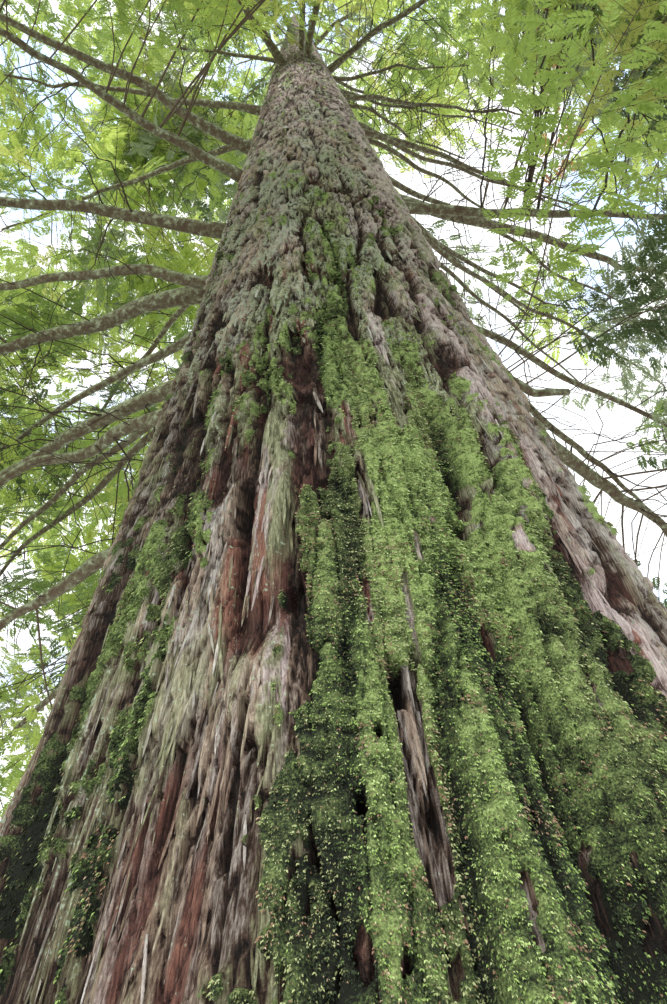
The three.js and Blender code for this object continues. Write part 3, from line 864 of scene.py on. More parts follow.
# Loose strips of bark
STRIP_COUNT = 4200
STRIP_WIDTH = 0.0036  # for each metre from the eye
STRIP_LENGTH, STRIP_THICKNESS, STRIP_LIFT = (7, 20), (0.12, 0.22), (0.1, 0.5)  # in widths
STRIP_SIZES, STRIP_LEAN = (0.5, 1.5), 0.09
STRIP_MOST_MOSS, STRIP_LEAST_LEVEL = 0.4, 0.3
STRIP_RINGS = [(0, 0.5, -0.3), (0.35, 1.0, 0.25), (0.75, 0.85, 0.6), (1, 0.12, 1.0)]  # down, width, lift
STRIP_CORNERS = [(-0.5, 0.15), (0.5, 0.1), (0.42, 1), (-0.4, 1)]  # in widths and thicknesses
SEEN_AZIMUTHS, SEEN_HEIGHTS = (-75, 75), (1.75, 18)

# Tufts of moss
TUFT_COUNT, TUFT_SIZE, TUFT_PIECES, TUFT_HEIGHTS = 120000, 0.0046, 3, (1.75, 8)
BACK_TUFTS, BACK_TUFT_SIZE, BACK_AZIMUTHS, BACK_HEIGHTS = 5000, 0.035, (60, 300), (0.1, 4)
TUFT_TONES = [0.36, 0.54, 0.76]  # where dark moss turns green, fresh and bright, partly by the crest's painted light and shade
BROWN_MOSS, TAN_MOSS, TO_OLIVE, PALEST = 4, 7, 4, 6  # places in the list of moss colours
OLIVE_ABOVE, DEAD_LEAST, DEAD_MORE = 0.56, 0.02, 0.3
MOSS_CLUMPS, OLIVE_PLACES, DEAD_PLACES = (80, 0.2), (70, 0.7), (130, 0.12)  # columns, row height
FROND_SWING, FROND_OUT, FROND_DOWN = 0.35, (0.35, 0.8), (0.5, 1.1)
FROND_LENGTH, FROND_WIDTH, FROND_SAG = (0.7, 1.3), 0.24, 0.3


def normals_at(azimuth, height):
    """The bark's outward direction, from the solid's slope."""
    step = 0.05
    slope = (trunk_radius(height + step, azimuth) - trunk_radius(height - step, azimuth)) / (2 * step)
    out = outward(azimuth)
    out[..., 2] -= slope
    return unit(out)


def places_seen(count, rng, heights):
    """Places on the front of the trunk, dealt evenly over the picture."""
    tries = count * 8
    azimuth, height = rng.uniform(*SEEN_AZIMUTHS, tries), rng.uniform(*heights, tries)
    points = surface_points(azimuth, height, 0)
    sight = EYE - points
    depth = np.linalg.norm(sight, axis=1)
    facing = np.sum(unit(sight) * normals_at(azimuth, height), 1)
    weight = np.clip(facing, 0, 1) * trunk_radius(height, azimuth) / depth**2
    chosen = rng.choice(tries, count, replace=False, p=weight / weight.sum())
    return azimuth[chosen], height[chosen], depth[chosen]


def surface_axes(azimuth, height):
    normal = normals_at(azimuth, height)
    across = unit(np.cross(UP, normal))
    return normal, across, np.cross(normal, across)


def strip_layers(bark, height, rng):
    """What lies on each strip, repeated for its sixteen points."""
    count = len(height)
    # A strip's brightness follows the bark's level, so it takes on the level's painted shade, with a
    # random tone on top.
    shade = 0.33 + 0.38 * bark["level"] + rng.normal(0, 0.15, count)
    layers = {key: bark[key] for key in ("moss", "crest", "lichen", "film", "mauve")}
    layers["level"] = np.clip(shade - 0.14 * smoothstep(2.6, 2.2, height), 0, 1)
    layers["inner"] = bark["inner"] * rng.uniform(0.2, 1.1, count)
    layers["tone"] = rng.uniform(0, 1, count)
    return {key: np.repeat(values, 16) for key, values in layers.items()}


def make_strips():
    """Thin slabs of bark that hang on by their upper ends."""
    rng = np.random.default_rng(5)
    azimuth, height, depth = places_seen(STRIP_COUNT, rng, SEEN_HEIGHTS)
    bark = bark_at(azimuth, height)
    kept = (bark["moss"] < STRIP_MOST_MOSS) & (bark["level"] > STRIP_LEAST_LEVEL)
    azimuth, height, depth = azimuth[kept], height[kept], depth[kept]
    bark = {k: v[kept] for k, v in bark.items()}
    count = len(azimuth)
    wide = STRIP_WIDTH * depth * rng.uniform(*STRIP_SIZES, count)
    long = wide * rng.uniform(*STRIP_LENGTH, count) * mix(1, 0.4, smoothstep(4, 6.5, height))
    thick = wide * rng.uniform(*STRIP_THICKNESS, count)
    lift = wide * rng.uniform(*STRIP_LIFT, count)
    lean = rng.normal(0, STRIP_LEAN, count)
    points = np.zeros((count, 4, 4, 3))
    for ring, (down, width, rise) in enumerate(STRIP_RINGS):
        at = height - long * down
        turn = azimuth + np.degrees(lean * long * down / trunk_radius(at, azimuth))
        normal, across = surface_axes(turn, at)[:2]
        middle = surface_points(turn, at, bark["out"]) + normal * (lift * rise)[:, None]
        for corner, (x, y) in enumerate(STRIP_CORNERS):
            aside = across * (wide * width * x)[:, None]
            points[:, ring, corner] = middle + aside + normal * (thick * y)[:, None]
    index = np.arange(count * 16).reshape(count, 4, 4)
    low, high = index[:, 1:], index[:, :-1]
    sides = np.stack([low, high, np.roll(high, -1, 2), np.roll(low, -1, 2)], -1).reshape(-1, 4)
    caps = np.concatenate([index[:, 0], index[:, 3, ::-1]])
    layers = strip_layers(bark, height, rng)
    piece = mesh_object("bark_strips", points, [sides, caps], [BARK], attributes=layers, smooth=False)
    belongs(piece, "bark", "trunk")


def tuft_tone(crest, azimuth, height, rng):
    """Which moss colour a tuft gets: lighter on the crests and darker in the valleys, as painted light and
    shade, and more olive in some places.
    """
    turn, count = azimuth / 360 + 0.5, len(crest)
    clump = noise(turn, height, *MOSS_CLUMPS, 95)
    light = 0.14 + crest * 0.5 + clump * 0.22 + rng.normal(0, 0.21, count)
    tone = np.digitize(light + 0.06 * smoothstep(3, 3.8, height), TUFT_TONES)
    olive = noise(turn, height, *OLIVE_PLACES, 96) + rng.normal(0, 0.12, count) > OLIVE_ABOVE
    tone = np.where(olive & (tone > 0), np.minimum(tone + TO_OLIVE, PALEST), tone)
    dead = DEAD_LEAST + DEAD_MORE * smoothstep(0.62, 0.85, noise(turn, height, *DEAD_PLACES, 97))
    tone = np.where(rng.uniform(0, 1, count) < dead, BROWN_MOSS, tone)
    return np.where(rng.uniform(0, 1, count) < 0.4 * dead, TAN_MOSS, tone)


def make_tufts(name, azimuth, height, size, rng):
    """Drooping fans of small fronds."""
    bark = bark_at(azimuth, height)
    kept = bark["moss"] > rng.uniform(0.35, 0.95, len(azimuth))
    azimuth, height, size = azimuth[kept], height[kept], size[kept]
    count = len(azimuth)
    tone = tuft_tone(bark["crest"][kept], azimuth, height, rng)
    foot = surface_points(azimuth, height, bark["out"][kept] - 0.002)
    normal, across, up = surface_axes(azimuth, height)
    points = np.zeros((count, 2, 4, 3))
    for frond, side in enumerate((-0.5, 0.5)):
        swing = side + rng.normal(0, FROND_SWING, count)
        out = rng.uniform(*FROND_OUT, count)
        down = rng.uniform(*FROND_DOWN, count)
        aim = unit(across * swing[:, None] + normal * out[:, None] - up * down[:, None])
        wing = unit(np.cross(aim, normal + across * rng.normal(0, 0.3, count)[:, None]))
        long = (size * rng.uniform(*FROND_LENGTH, count))[:, None]
        middle, aside = foot + aim * long * 0.5, wing * long * FROND_WIDTH
        points[:, frond, 0] = foot
        points[:, frond, 1] = middle + aside
        points[:, frond, 2] = foot + aim * long - UP * long * FROND_SAG
        points[:, frond, 3] = middle - aside
    quads = np.arange(count * 8).reshape(-1, 4)
    piece = mesh_object(name, points, [quads], MOSSES, slots=np.repeat(tone, 2), smooth=False)
    belongs(piece, "bark", "trunk")


def make_moss():
    rng = np.random.default_rng(6)
    azimuth, height, depth = places_seen(TUFT_COUNT, rng, TUFT_HEIGHTS)
    for i in range(TUFT_PIECES):
        some = slice(i, None, TUFT_PIECES)
        make_tufts(f"moss_{i + 1}", azimuth[some], height[some], TUFT_SIZE * depth[some], rng)
    azimuth, height = rng.uniform(*BACK_AZIMUTHS, BACK_TUFTS), rng.uniform(*BACK_HEIGHTS, BACK_TUFTS)
    make_tufts("moss_back", azimuth, height, np.full(BACK_TUFTS, BACK_TUFT_SIZE), rng)


make_strips()
make_moss()


# Limbs
def bough_path(height, azimuth, diameter, reach, rise):
    """The source's rule: foot, knee and tip of a bough."""
    out = outward(azimuth)
    start = trunk_radius(height, azimuth) - 2 * diameter
    half = (reach * crown_radius(height) - start) / 2
    foot = out * start + [0, 0, height]
    knee = foot + out * half + [0, 0, half * np.tan(np.radians(rise[0]))]
    tip = knee + out * half + [0, 0, half * np.tan(np.radians(rise[1]))]
    return foot, knee, tip


def make_stem(foot, ahead, end, radius):
    """The source's rule: a mass's stem as a path, and where the mass has its middle."""
    path = (foot, foot + ahead * 0.4 * np.linalg.norm(end - foot), end)
    scale = min(1, crown_radius(foot[2]) / FULL_RADIUS)
    return {"path": path, "radius": radius, "scale": scale, "centre": bezier(*path, 0.7)}


def stem_on_bough(row, path):
    height, azimuth, diameter = row[:3]
    tip, ahead = path[2], bezier_ahead(*path, 1)
    turned = sum(by for low, high, by in SWEEPS if low < azimuth < high)
    room = crown_radius(height) - 0.8 * SPRAY_LENGTH - np.hypot(tip[0], tip[1])
    length = np.clip(room, *STEM_LENGTH)
    end = tip + outward(azimuth + turned) * length
    end[2] += length * (ahead[2] - STEM_DROP)
    return make_stem(tip, ahead, end, diameter * BOUGH_TIP / 2)


def stem_on_trunk(row, share, rise, thinning):
    height, azimuth, diameter = row
    out = outward(azimuth)
    radius = diameter / 2 * (1 - thinning * share)
    foot = out * (trunk_radius(height, azimuth) - 2 * radius) + [0, 0, height]
    slope = np.radians(mix(*rise, share**1.5))
    ahead = out * np.cos(slope) + [0, 0, np.sin(slope)]
    scale = min(1, crown_radius(height) / FULL_RADIUS)
    length = crown_radius(height) / np.cos(min(slope, 0.9)) - 0.8 * scale * SPRAY_LENGTH
    if rise == TOP_RISE:
        length = (CROWN_TOP - height - 0.9 * scale * SPRAY_LENGTH) / np.sin(slope)
    return make_stem(foot, ahead, foot + ahead * length, radius)


BOUGHS = [(row, bough_path(*row, SIDE_RISE)) for row in LEFT_BOUGHS + RIGHT_BOUGHS]
BOUGHS += [(row, bough_path(*row, FAR_RISE)) for row in FAR_BOUGHS]
BOUGHS += [(row, bough_path(*row, NEAR_RISE)) for row in NEAR_BOUGHS]
UPPER = [(row, i / (UPPER_COUNT - 1)) for i, row in enumerate(UPPER_STEMS)]
STEMS = [stem_on_bough(row, path) for row, path in BOUGHS]
STEMS += [stem_on_trunk(row, share, UPPER_RISE, UPPER_THINNING) for row, share in UPPER]
STEMS += [stem_on_trunk(row, 1, TOP_RISE, 0) for row in TOP_STEMS]
CENTRES = np.array([stem["centre"] for stem in STEMS])
FOLIAGE = [f"foliage_{i + 1:02d}" for i in range(len(STEMS))]
THIN = [(row, bough_path(*row, SIDE_RISE)) for row in THIN_BOUGHS]

LIMB_SIDES, LIMB_STEPS, LIMB_KNOTS = 14, 56, 0.018
LIMB_RIBS = [(2, 0.07), (3, 0.05), (5, 0.035)]  # count round the limb, size as a share of its radius
BOUGH_SWAY, STEM_SWAY, THIN_SWAY, SWAY_WAVES = 0.03, 0.04, 0.08, (1, 2, 4)
STUB_TIP, THIN_TIP = 0.55, 0.3  # radius at the tip, as a share of the foot's


def limb(path, radius, tip, rng, bend, collar=COLLAR_SWELL):
    """A swaying line along a path, and its radii from the swollen foot to the tip."""
    t = np.linspace(0, 1, LIMB_STEPS)
    sway = 0
    for wave in SWAY_WAVES:
        sway = sway + np.sin(wave * 2 * np.pi * t[:, None] + rng.uniform(0, 2 * np.pi, 3)) / wave
    line = bezier(*path, t) + sway * bend * np.minimum(1, 4 * t * (1 - t))[:, None]
    return line, radius * mix(1, tip, t) * (1 + collar * np.maximum(0, 1 - t / COLLAR_LENGTH) ** 2)


def make_limbs(name, limbs, rng, *nodes):
    """Limbs with lengthwise ribs and knots, all of one mesh."""
    paths, radii = (np.array(part) for part in zip(*limbs))
    count, steps = radii.shape
    turn = np.arange(LIMB_SIDES) * 2 * np.pi / LIMB_SIDES
    t = np.linspace(0, 1, steps)[None, :, None]
    ribs = 0
    for lobes, size in LIMB_RIBS:
        phase = rng.uniform(0, 6.3, (count, 1, 1)) + 3 * t * rng.uniform(-1, 1, (count, 1, 1))
        ribs = ribs + size * np.sin(lobes * turn + phase)
    knots = rng.normal(0, LIMB_KNOTS, (count, steps, LIMB_SIDES))
    points, quads, caps = tubes(paths, radii[..., None] * (1 + ribs + knots), LIMB_SIDES)
    belongs(mesh_object(name, points, [quads, caps], [BOUGH]), "bough_bark", *nodes)


def stub_path():
    out = outward(STUB_AZIMUTH)
    base = trunk_radius(STUB_HEIGHT, STUB_AZIMUTH)
    foot = out * (base - 2 * STUB_DIAMETER) + [0, 0, STUB_HEIGHT]
    rise = STUB_LENGTH * np.tan(np.radians(STUB_RISE))
    tip = out * (base + STUB_LENGTH) + [0, 0, STUB_HEIGHT + rise]
    return foot, (foot + tip) / 2, tip


def make_boughs():
    rng = np.random.default_rng(7)
    for i, (row, path) in enumerate(BOUGHS):
        bough = limb(path, row[2] / 2, BOUGH_TIP, rng, BOUGH_SWAY)
        make_limbs(f"bough_{i + 1}", [bough], rng, f"bough_{i + 1:02d}")
    stub = limb(stub_path(), STUB_DIAMETER / 2, STUB_TIP, rng, BOUGH_SWAY, collar=0)
    make_limbs("stub", [stub], rng, "dead_stub")
    stems = [limb(stem["path"], stem["radius"], STEM_TIP, rng, STEM_SWAY, collar=0) for stem in STEMS]
    stems += [limb(path, row[2] / 2, THIN_TIP, rng, THIN_SWAY) for row, path in THIN]
    make_limbs("stems", stems, rng, *FOLIAGE)


# Leafless twigs along the boughs
BARE_PER_METRE, BARE_LENGTH, BARE_RADIUS, BARE_STEPS = 2.6, (0.5, 2.0), (0.005, 0.011), 9
BARE_TAPER, BARE_SAG, BARE_KINK = 0.35, 0.35, 0.042
HANGING_GAIN = 1.7  # how much longer they are on the leafy stems
OVERHEAD_GAIN = {"left": 0.5, "right": 3.0}  # how many more or fewer there are at the picture's top
FORKS_AT, FORK_LENGTH, FORK_STEPS = (3, 5, 6, 7), (0.2, 0.5), 4
DROOPING = [  # dark twigs at the picture's upper right: radius, metres from the eye, pixels along it
    (0.017, 8.0, [(590, -70), (575, 0), (545, 85), (536, 140), (532, 195), (520, 250)]),
    (0.013, 8.3, [(560, -70), (548, 0), (533, 60), (536, 95), (540, 125)]),
    (0.016, 7.6, [(590, -70), (592, 0), (592, 115), (612, 165), (625, 215), (665, 260)]),
    (0.014, 7.8, [(570, -70), (580, 0), (605, 75), (640, 115), (680, 130)]),
    (0.015, 7.4, [(680, -40), (667, 25), (655, 55), (637, 100), (630, 130), (622, 180)]),
    (0.01, 8.2, [(566, -20), (564, 60), (565, 110), (575, 135), (572, 155), (545, 190)]),
    (0.011, 8.6, [(500, -70), (488, 0), (478, 40), (460, 75), (447, 100)]),
    (0.01, 8.4, [(545, -70), (533, 0), (508, 30), (500, 60), (510, 75), (508, 110)]),
]
DROOPING_STEPS, DROOPING_BUMPS = 40, 0.018
DROOPING_TWIGS, DROOPING_GAIN = 5, 0.45  # twigs per metre, and how long they are


def drooping_lines(rng):
    """Each one grows from the nearest limb and follows its line in the picture."""
    paths = [path for row, path in BOUGHS + THIN] + [stem["path"] for stem in STEMS]
    limbs = np.concatenate([bezier(*path, np.linspace(0.3, 0.95, 14)) for path in paths])
    lines, radii = [], []
    for radius, depth, pixels in DROOPING:
        corners = np.array([at_pixel(x, y, depth) for x, y in pixels])
        nearest = limbs[np.argmin(np.linalg.norm(limbs - corners[0], axis=1))]
        corners = np.vstack([nearest, corners])
        along = np.append(0, np.cumsum(np.linalg.norm(np.diff(corners, axis=0), axis=1)))
        at = np.linspace(0, along[-1], DROOPING_STEPS)
        line = np.stack([np.interp(at, along, corners[:, k]) for k in range(3)], -1)
        bumps = rng.normal(0, DROOPING_BUMPS, line.shape)
        bumps[0] = 0
        lines.append(line + bumps)
        radii.append(radius * np.linspace(1.2, 0.35, DROOPING_STEPS))
    return np.array(lines), np.array(radii)


def hanging(foot, aim, long, rng, steps):
    """Lines that start along aim and bend down, with a few kinks."""
    t = np.linspace(0, 1, steps)[None, :, None]
    line = foot[:, None] + aim[:, None] * (long[:, None, None] * t)
    line[..., 2] -= long[:, None] * BARE_SAG * t[..., 0] ** 2
    kink = np.cumsum(rng.normal(0, BARE_KINK, (len(foot), steps, 3)), axis=1)
    kink -= kink[:, :1]
    return line + kink * long[:, None, None]


def feet_on_limbs(rng):
    """Where twigs start on each limb: places, the limb's direction there, and their gain in length."""
    hosts = [(path, 1.0) for row, path in BOUGHS + THIN]
    hosts += [(stem["path"], HANGING_GAIN) for stem in STEMS[: len(BOUGHS)]]
    for path, gain in hosts:
        x, y = project(bezier(*path, 0.6))[:2]
        crowd = OVERHEAD_GAIN["right" if x > SIDES_MEET else "left"] if y < OVERHEAD_ABOVE else 1
        t = rng.uniform(0.22, 1, int(BARE_PER_METRE * crowd * np.linalg.norm(path[2] - path[0])))
        yield bezier(*path, t), bezier_ahead(*path, t), np.full(len(t), gain)


def feet_on_lines(lines, rng):
    for line in lines:
        count = int(DROOPING_TWIGS * np.linalg.norm(line[-1] - line[0]))
        pick = rng.integers(DROOPING_STEPS // 5, DROOPING_STEPS - 1, count)
        yield line[pick], unit(line[pick + 1] - line[pick]), np.full(count, DROOPING_GAIN)


def make_bare_twigs():
    rng = np.random.default_rng(12)
    feet = [*feet_on_limbs(rng)]
    droops, droop_radii = drooping_lines(rng)
    feet += feet_on_lines(droops, rng)
    foot, way, gain = (np.concatenate(part) for part in zip(*feet))
    count = len(foot)
    side = unit(np.cross(way, UP)) * rng.choice([-1, 1], (count, 1))
    onward, upward = rng.uniform(0.2, 1.1, (count, 1)), rng.normal(-0.35, 0.45, (count, 1))
    long = rng.uniform(*BARE_LENGTH, count) * gain
    lines = hanging(foot, unit(way * onward + side + UP * upward), long, rng, BARE_STEPS)
    radii = (rng.uniform(*BARE_RADIUS, count) * gain**0.5)[:, None]
    radii = radii * np.linspace(1, BARE_TAPER, BARE_STEPS)
    kept = within_crown(lines[:, -1])
    lots = [tubes(lines[kept], radii[kept], 4), tubes(droops, droop_radii, 6)]
    for at in FORKS_AT:
        ahead = unit(lines[:, at] - lines[:, at - 1])
        branch = unit(ahead + unit(rng.normal(0, 1, (count, 3))) * 0.9)
        fork = hanging(lines[:, at], branch, long * rng.uniform(*FORK_LENGTH, count), rng, FORK_STEPS)
        ends = kept & within_crown(fork[:, -1])
        thin = radii[:, at : at + 1] * 0.7 * np.linspace(1, 0.4, FORK_STEPS)
        lots.append(tubes(fork[ends], thin[ends], 3))
    points, quads, caps = join_tubes(lots)
    piece = mesh_object("bare_twigs", points, [quads, *caps], [TWIGS[0]])
    belongs(piece, "bough_bark", *FOLIAGE)


make_boughs()
make_bare_twigs()


# Foliage
SPRAY_DROOP, SPRAY_WAVE, SPRAY_BEND = 0.1, 0.016, 0.07
RIB_STEPS, RIB_SHARE, LEAST_RIB = 11, 0.45, 0.003  # share of the twig's radius, least radius in metres
FREE_PLACES = 5200
SHELL = (0.45**2, 0.95)  # the free places lie between these shares of the crown's radius, squared
KEPT_PLACES = {"left": 0.5, "low left": 1.1, "top": 0.27, "right": 0.06, "unseen": 0.34}
OPENING_KEPT = 0.22
BARE_WITHIN = (7.0, 9.0)  # metres from the eye where the boughs are bare: low on the left, and elsewhere
NARROWING = (2, 1.3)  # how fast the places thin out towards the top: where they are seen, and elsewhere
COVER_PLACES = 36  # these close the view of the trunk's top
COVER_SPANS = [(18.4, 20.6), (-45, 60), (1.4, 3.6)]  # heights, azimuths, radii
LEAST_LEAFY, MOST_LEAFY = 0.3, 0.985  # where side twigs start and end along a spray
SIDE_ANGLES, SIDE_LIFT, SIDE_LENGTH = (38, 60), 0.22, 0.62
SIDE_STEP, PLUME_STEP = 0.68, 0.52  # spacing of side twigs and plumes, in plume lengths
PLUME_FINENESS = 0.0295  # length of a plume for each metre from the eye
PLUME_LEAST, PLUME_MOST, PLUME_UNSEEN = 0.2, 0.6, 0.8
PLUME_PAIRS, PLUME_CRUMPLE, LEAFLET_RISES = 5, 0.012, (0, 0.012, -0.05, 0.012)
PLUME_TWIST, END_TWIST = 0.72, 0.12
PIECE_LIMIT = 190000
# The shares by area are partly painted light: lime and yellow on the left stand in for leaves lit from
# behind, beside their real tints.
NEEDLE_SHARES = {  # lime, fresh, yellow, green, deep, grey, brown
    "left": [0.38, 0.27, 0.09, 0.18, 0.05, 0.03, 0.0],
    "right": [0.09, 0.14, 0.02, 0.22, 0.24, 0.27, 0.02],
    "top": [0.16, 0.25, 0.06, 0.22, 0.09, 0.2, 0.02],
    "unseen": [0.24, 0.26, 0.06, 0.24, 0.12, 0.07, 0.01],
}


def in_space(points, mass):
    """Whether places keep to a mass's own part of the crown."""
    apart = CENTRES - CENTRES[mass]
    length = np.linalg.norm(apart, axis=1)
    length[mass] = 1
    beyond = (points - CENTRES[mass]) @ apart.T / length
    other = np.arange(len(CENTRES)) != mass
    return within_crown(points) & np.all((beyond < length / 2 + 0.1) | ~other, axis=1)


def rotated(v, axis, angle):
    turned = v * np.cos(angle) + np.cross(axis, v) * np.sin(angle)
    return turned + axis * (axis @ v) * (1 - np.cos(angle))


def in_opening(x, y):
    middle_x, middle_y, wide, tall = OPENING
    return ((x - middle_x) / wide) ** 2 + ((y - middle_y) / tall) ** 2 < 1


def free_places(rng):
    """Places dealt evenly through the crown's shell, fewer where the photograph shows sky."""
    height = rng.uniform(CROWN_BASE + 0.4, CROWN_TOP - 0.4, FREE_PLACES)
    azimuth = rng.uniform(-180, 180, FREE_PLACES)
    radius = crown_radius(height)
    out = radius * np.sqrt(rng.uniform(*SHELL, FREE_PLACES))
    points = outward(azimuth) * out[:, None] + UP * height[:, None]
    inside = seen(points)
    x, y, depth = project(points)
    low_left = (x < SIDES_MEET) & (y > LOW_BELOW)
    kept = np.where(x < SIDES_MEET, KEPT_PLACES["left"], KEPT_PLACES["right"])
    kept[low_left] = KEPT_PLACES["low left"]
    kept[(x >= SIDES_MEET) & (y < TOP_ABOVE)] = KEPT_PLACES["top"]
    kept[in_opening(x, y)] *= OPENING_KEPT
    kept[depth < np.where(low_left, *BARE_WITHIN)] = 0
    kept[~inside] = KEPT_PLACES["unseen"]
    narrowing = (radius / CROWN_RADIUS) ** np.where(inside, *NARROWING)
    points = points[rng.uniform(0, 1, FREE_PLACES) < kept * narrowing]
    height, azimuth, out = (rng.uniform(*span, COVER_PLACES) for span in COVER_SPANS)
    return np.concatenate([points, outward(azimuth) * out[:, None] + UP * height[:, None]])


def rule_sprays(index, stem):
    """The source's rule for a mass's twigs: foot, heading, face, twig's length, size and radius."""
    numbers = seeded(1000 + index)
    path, scale = stem["path"], stem["scale"]
    for i in range(TWIG_COUNT):
        along = mix(TWIG_FIRST, TWIG_LAST, i / (TWIG_COUNT - 1))
        ahead = bezier_ahead(*path, along)
        side = unit(np.cross(ahead, UP)) * (-1 if i % 2 else 1)
        up = unit(np.cross(ahead, side))
        up = up if up[2] >= 0 else -up
        tilt = np.radians(TWIG_TILTS[i % len(TWIG_TILTS)] + TWIG_TILT_SPREAD * (next(numbers) - 0.5))
        angle = np.radians(TWIG_ANGLE + TWIG_ANGLE_SPREAD * (next(numbers) - 0.5))
        heading = ahead * np.cos(angle) + (side * np.cos(tilt) + up * np.sin(tilt)) * np.sin(angle)
        face = rotated(up, heading, np.radians(SPRAY_ROLL * 2 * (next(numbers) - 0.5)))
        shortening = 1 - TWIG_SHORTEN * along
        length = TWIG_LENGTH * scale * shortening * mix(*TWIG_LENGTH_SPREAD, next(numbers))
        size = scale * mix(*SPRAY_SIZE_SPREAD, next(numbers))
        radius = min(TWIG_RADIUS, 0.55 * stem["radius"] * mix(1, STEM_TIP, along))
        yield bezier(*path, along), heading, face, length, size, radius
    face = unit(np.array([0.1, 0.1, 1]))
    length = 0.2 * SPRAY_LENGTH * scale
    yield bezier(*path, 0.93), bezier_ahead(*path, 1), face, length, scale, 0.3 * stem["radius"]


def free_sprays(index, stem, places, rng):
    """Twigs from the mass's limbs to the free places in its own space."""
    t = np.linspace(0.05, 0.95, 12)
    line = bezier(*stem["path"], t)
    radii = stem["radius"] * mix(1, STEM_TIP, t)
    if index < len(BOUGHS):
        row, path = BOUGHS[index]
        t = np.linspace(0.4, 0.95, 8)
        line = np.concatenate([bezier(*path, t), line])
        radii = np.concatenate([row[2] / 2 * mix(1, BOUGH_TIP, t), radii])
    for place in places:
        away = np.linalg.norm(line - place, axis=1)
        near = np.argmin(away + rng.uniform(0, 0.6, len(away)))
        reach = away[near] + 0.5 * stem["scale"]
        blade = min(0.65 * reach, SPRAY_LENGTH * stem["scale"])
        face = unit(UP + rng.normal(0, 0.45, 3))
        radius = min(0.5 * radii[near], 0.006 + 0.003 * reach)
        yield line[near], unit(place - line[near]), face, reach - blade, blade / SPRAY_LENGTH, radius


def shortened(spray, mass):
    """A spray that would leave its space is made shorter, then left out, as in the source."""
    start, heading, face, length, size, radius = spray
    across = unit(np.cross(face, heading))
    for tries in range(TWIG_TRIES):
        long, wide = length * TWIG_RETRY**tries, size * SPRAY_RETRY**tries
        edge = start + heading * (long + 0.45 * SPRAY_LENGTH * wide)
        aside = across * SPRAY_WIDTH * wide / 2
        tip = start + heading * (long + SPRAY_LENGTH * wide)
        if np.all(in_space(np.array([edge - aside, edge + aside, tip]), mass)):
            return start, heading, face, long, wide, radius
    return None


def spray_half_width(share):
    """Half the width of a spray, as a share of its greatest, from the twig's foot to the tip."""
    return np.interp(share, [0, 0.3, 0.45, 0.6, 0.85, 1], [0.15, 0.3, 0.75, 1.0, 0.65, 0.15])


def spray_line(spray, rng):
    """A spray's reach, its rib as a function of the share along it, and the ways across and over it."""
    start, heading, face, length, size = spray[:5]
    reach = length + SPRAY_LENGTH * size
    bend = rng.normal(0, SPRAY_BEND, 2)
    first, second = rng.uniform(0, 6.3, 2)
    across = unit(np.cross(face, heading))
    over = np.cross(heading, across)

    def at(s):
        s = s[:, None]
        line = start + heading * reach * s + (across * bend[0] + over * bend[1]) * reach * (s * s)
        line = line + across * (SPRAY_WAVE * reach * (np.sin(9 * s + first) - np.sin(first)))
        line = line + over * (SPRAY_WAVE * reach * (np.sin(7 * s + second) - np.sin(second)))
        return line - UP * (SPRAY_DROOP * reach * s**2.2)

    return reach, at, across, over


def plumes_on(foot, side, wide, over, fine, rng):
    """Plumes along side twigs: the twig that each is on, then its origin, aim, face and size."""
    plumes = np.ceil(wide / (PLUME_STEP * fine)).astype(int)
    which = np.repeat(np.arange(len(foot)), plumes)
    order = np.concatenate([np.arange(n) for n in plumes])
    count, share = len(which), (order + 1) / plumes[which]
    foot, side, wide = foot[which], side[which], wide[which]
    origin = foot + side * (wide * share)[:, None] - UP * (0.1 * wide * share**2)[:, None]
    twist = np.where(order % 2, -1.0, 1.0) * np.where(share == 1, END_TWIST, PLUME_TWIST)
    twist = twist + rng.normal(0, 0.12, count)
    flat = unit(over + rng.normal(0, 0.25, (count, 3)))
    flat = unit(flat - side * np.sum(flat * side, 1, keepdims=True))
    beside = np.cross(flat, side)
    aim = unit(side * np.cos(twist)[:, None] + beside * np.sin(twist)[:, None] - UP * 0.12)
    size = fine * rng.uniform(0.7, 1.15, count) * mix(1, 0.75, share)
    return which, {"origin": origin, "aim": aim, "flat": flat, "size": size}


def dress_spray(spray, rng, fine):
    """A spray's rib with its radii, its side twigs, and its plumes with the twig that each is on."""
    reach, at, across, over = spray_line(spray, rng)
    size, radius = spray[4:]
    t = np.linspace(0, 1, RIB_STEPS)
    rib = at(t), np.maximum(radius * (1 - t) ** 0.8 * RIB_SHARE, LEAST_RIB)
    step = SIDE_STEP * fine / reach
    s = np.arange(LEAST_LEAFY, MOST_LEAFY, step / 2)
    count = len(s)
    s = s + rng.uniform(-0.2, 0.2, count) * step
    way = np.where(np.arange(count) % 2, -1.0, 1.0)
    foot = at(s)
    ahead = unit(at(s + 0.02) - foot)
    angle = np.radians(rng.uniform(*SIDE_ANGLES, count))
    lift = rng.normal(0, SIDE_LIFT, count)
    aside = across * (way * np.sin(angle))[:, None] + over * lift[:, None]
    side = unit(ahead * np.cos(angle)[:, None] + aside)
    wide = spray_half_width(s) * SPRAY_WIDTH * size * SIDE_LENGTH * rng.uniform(0.75, 1.15, count)
    wide = np.maximum(wide, 0.5 * fine)
    ends = foot + side * wide[:, None] - UP * (0.1 * wide)[:, None]
    return rib, np.stack([foot, ends], 1), *plumes_on(foot, side, wide, over, fine, rng)


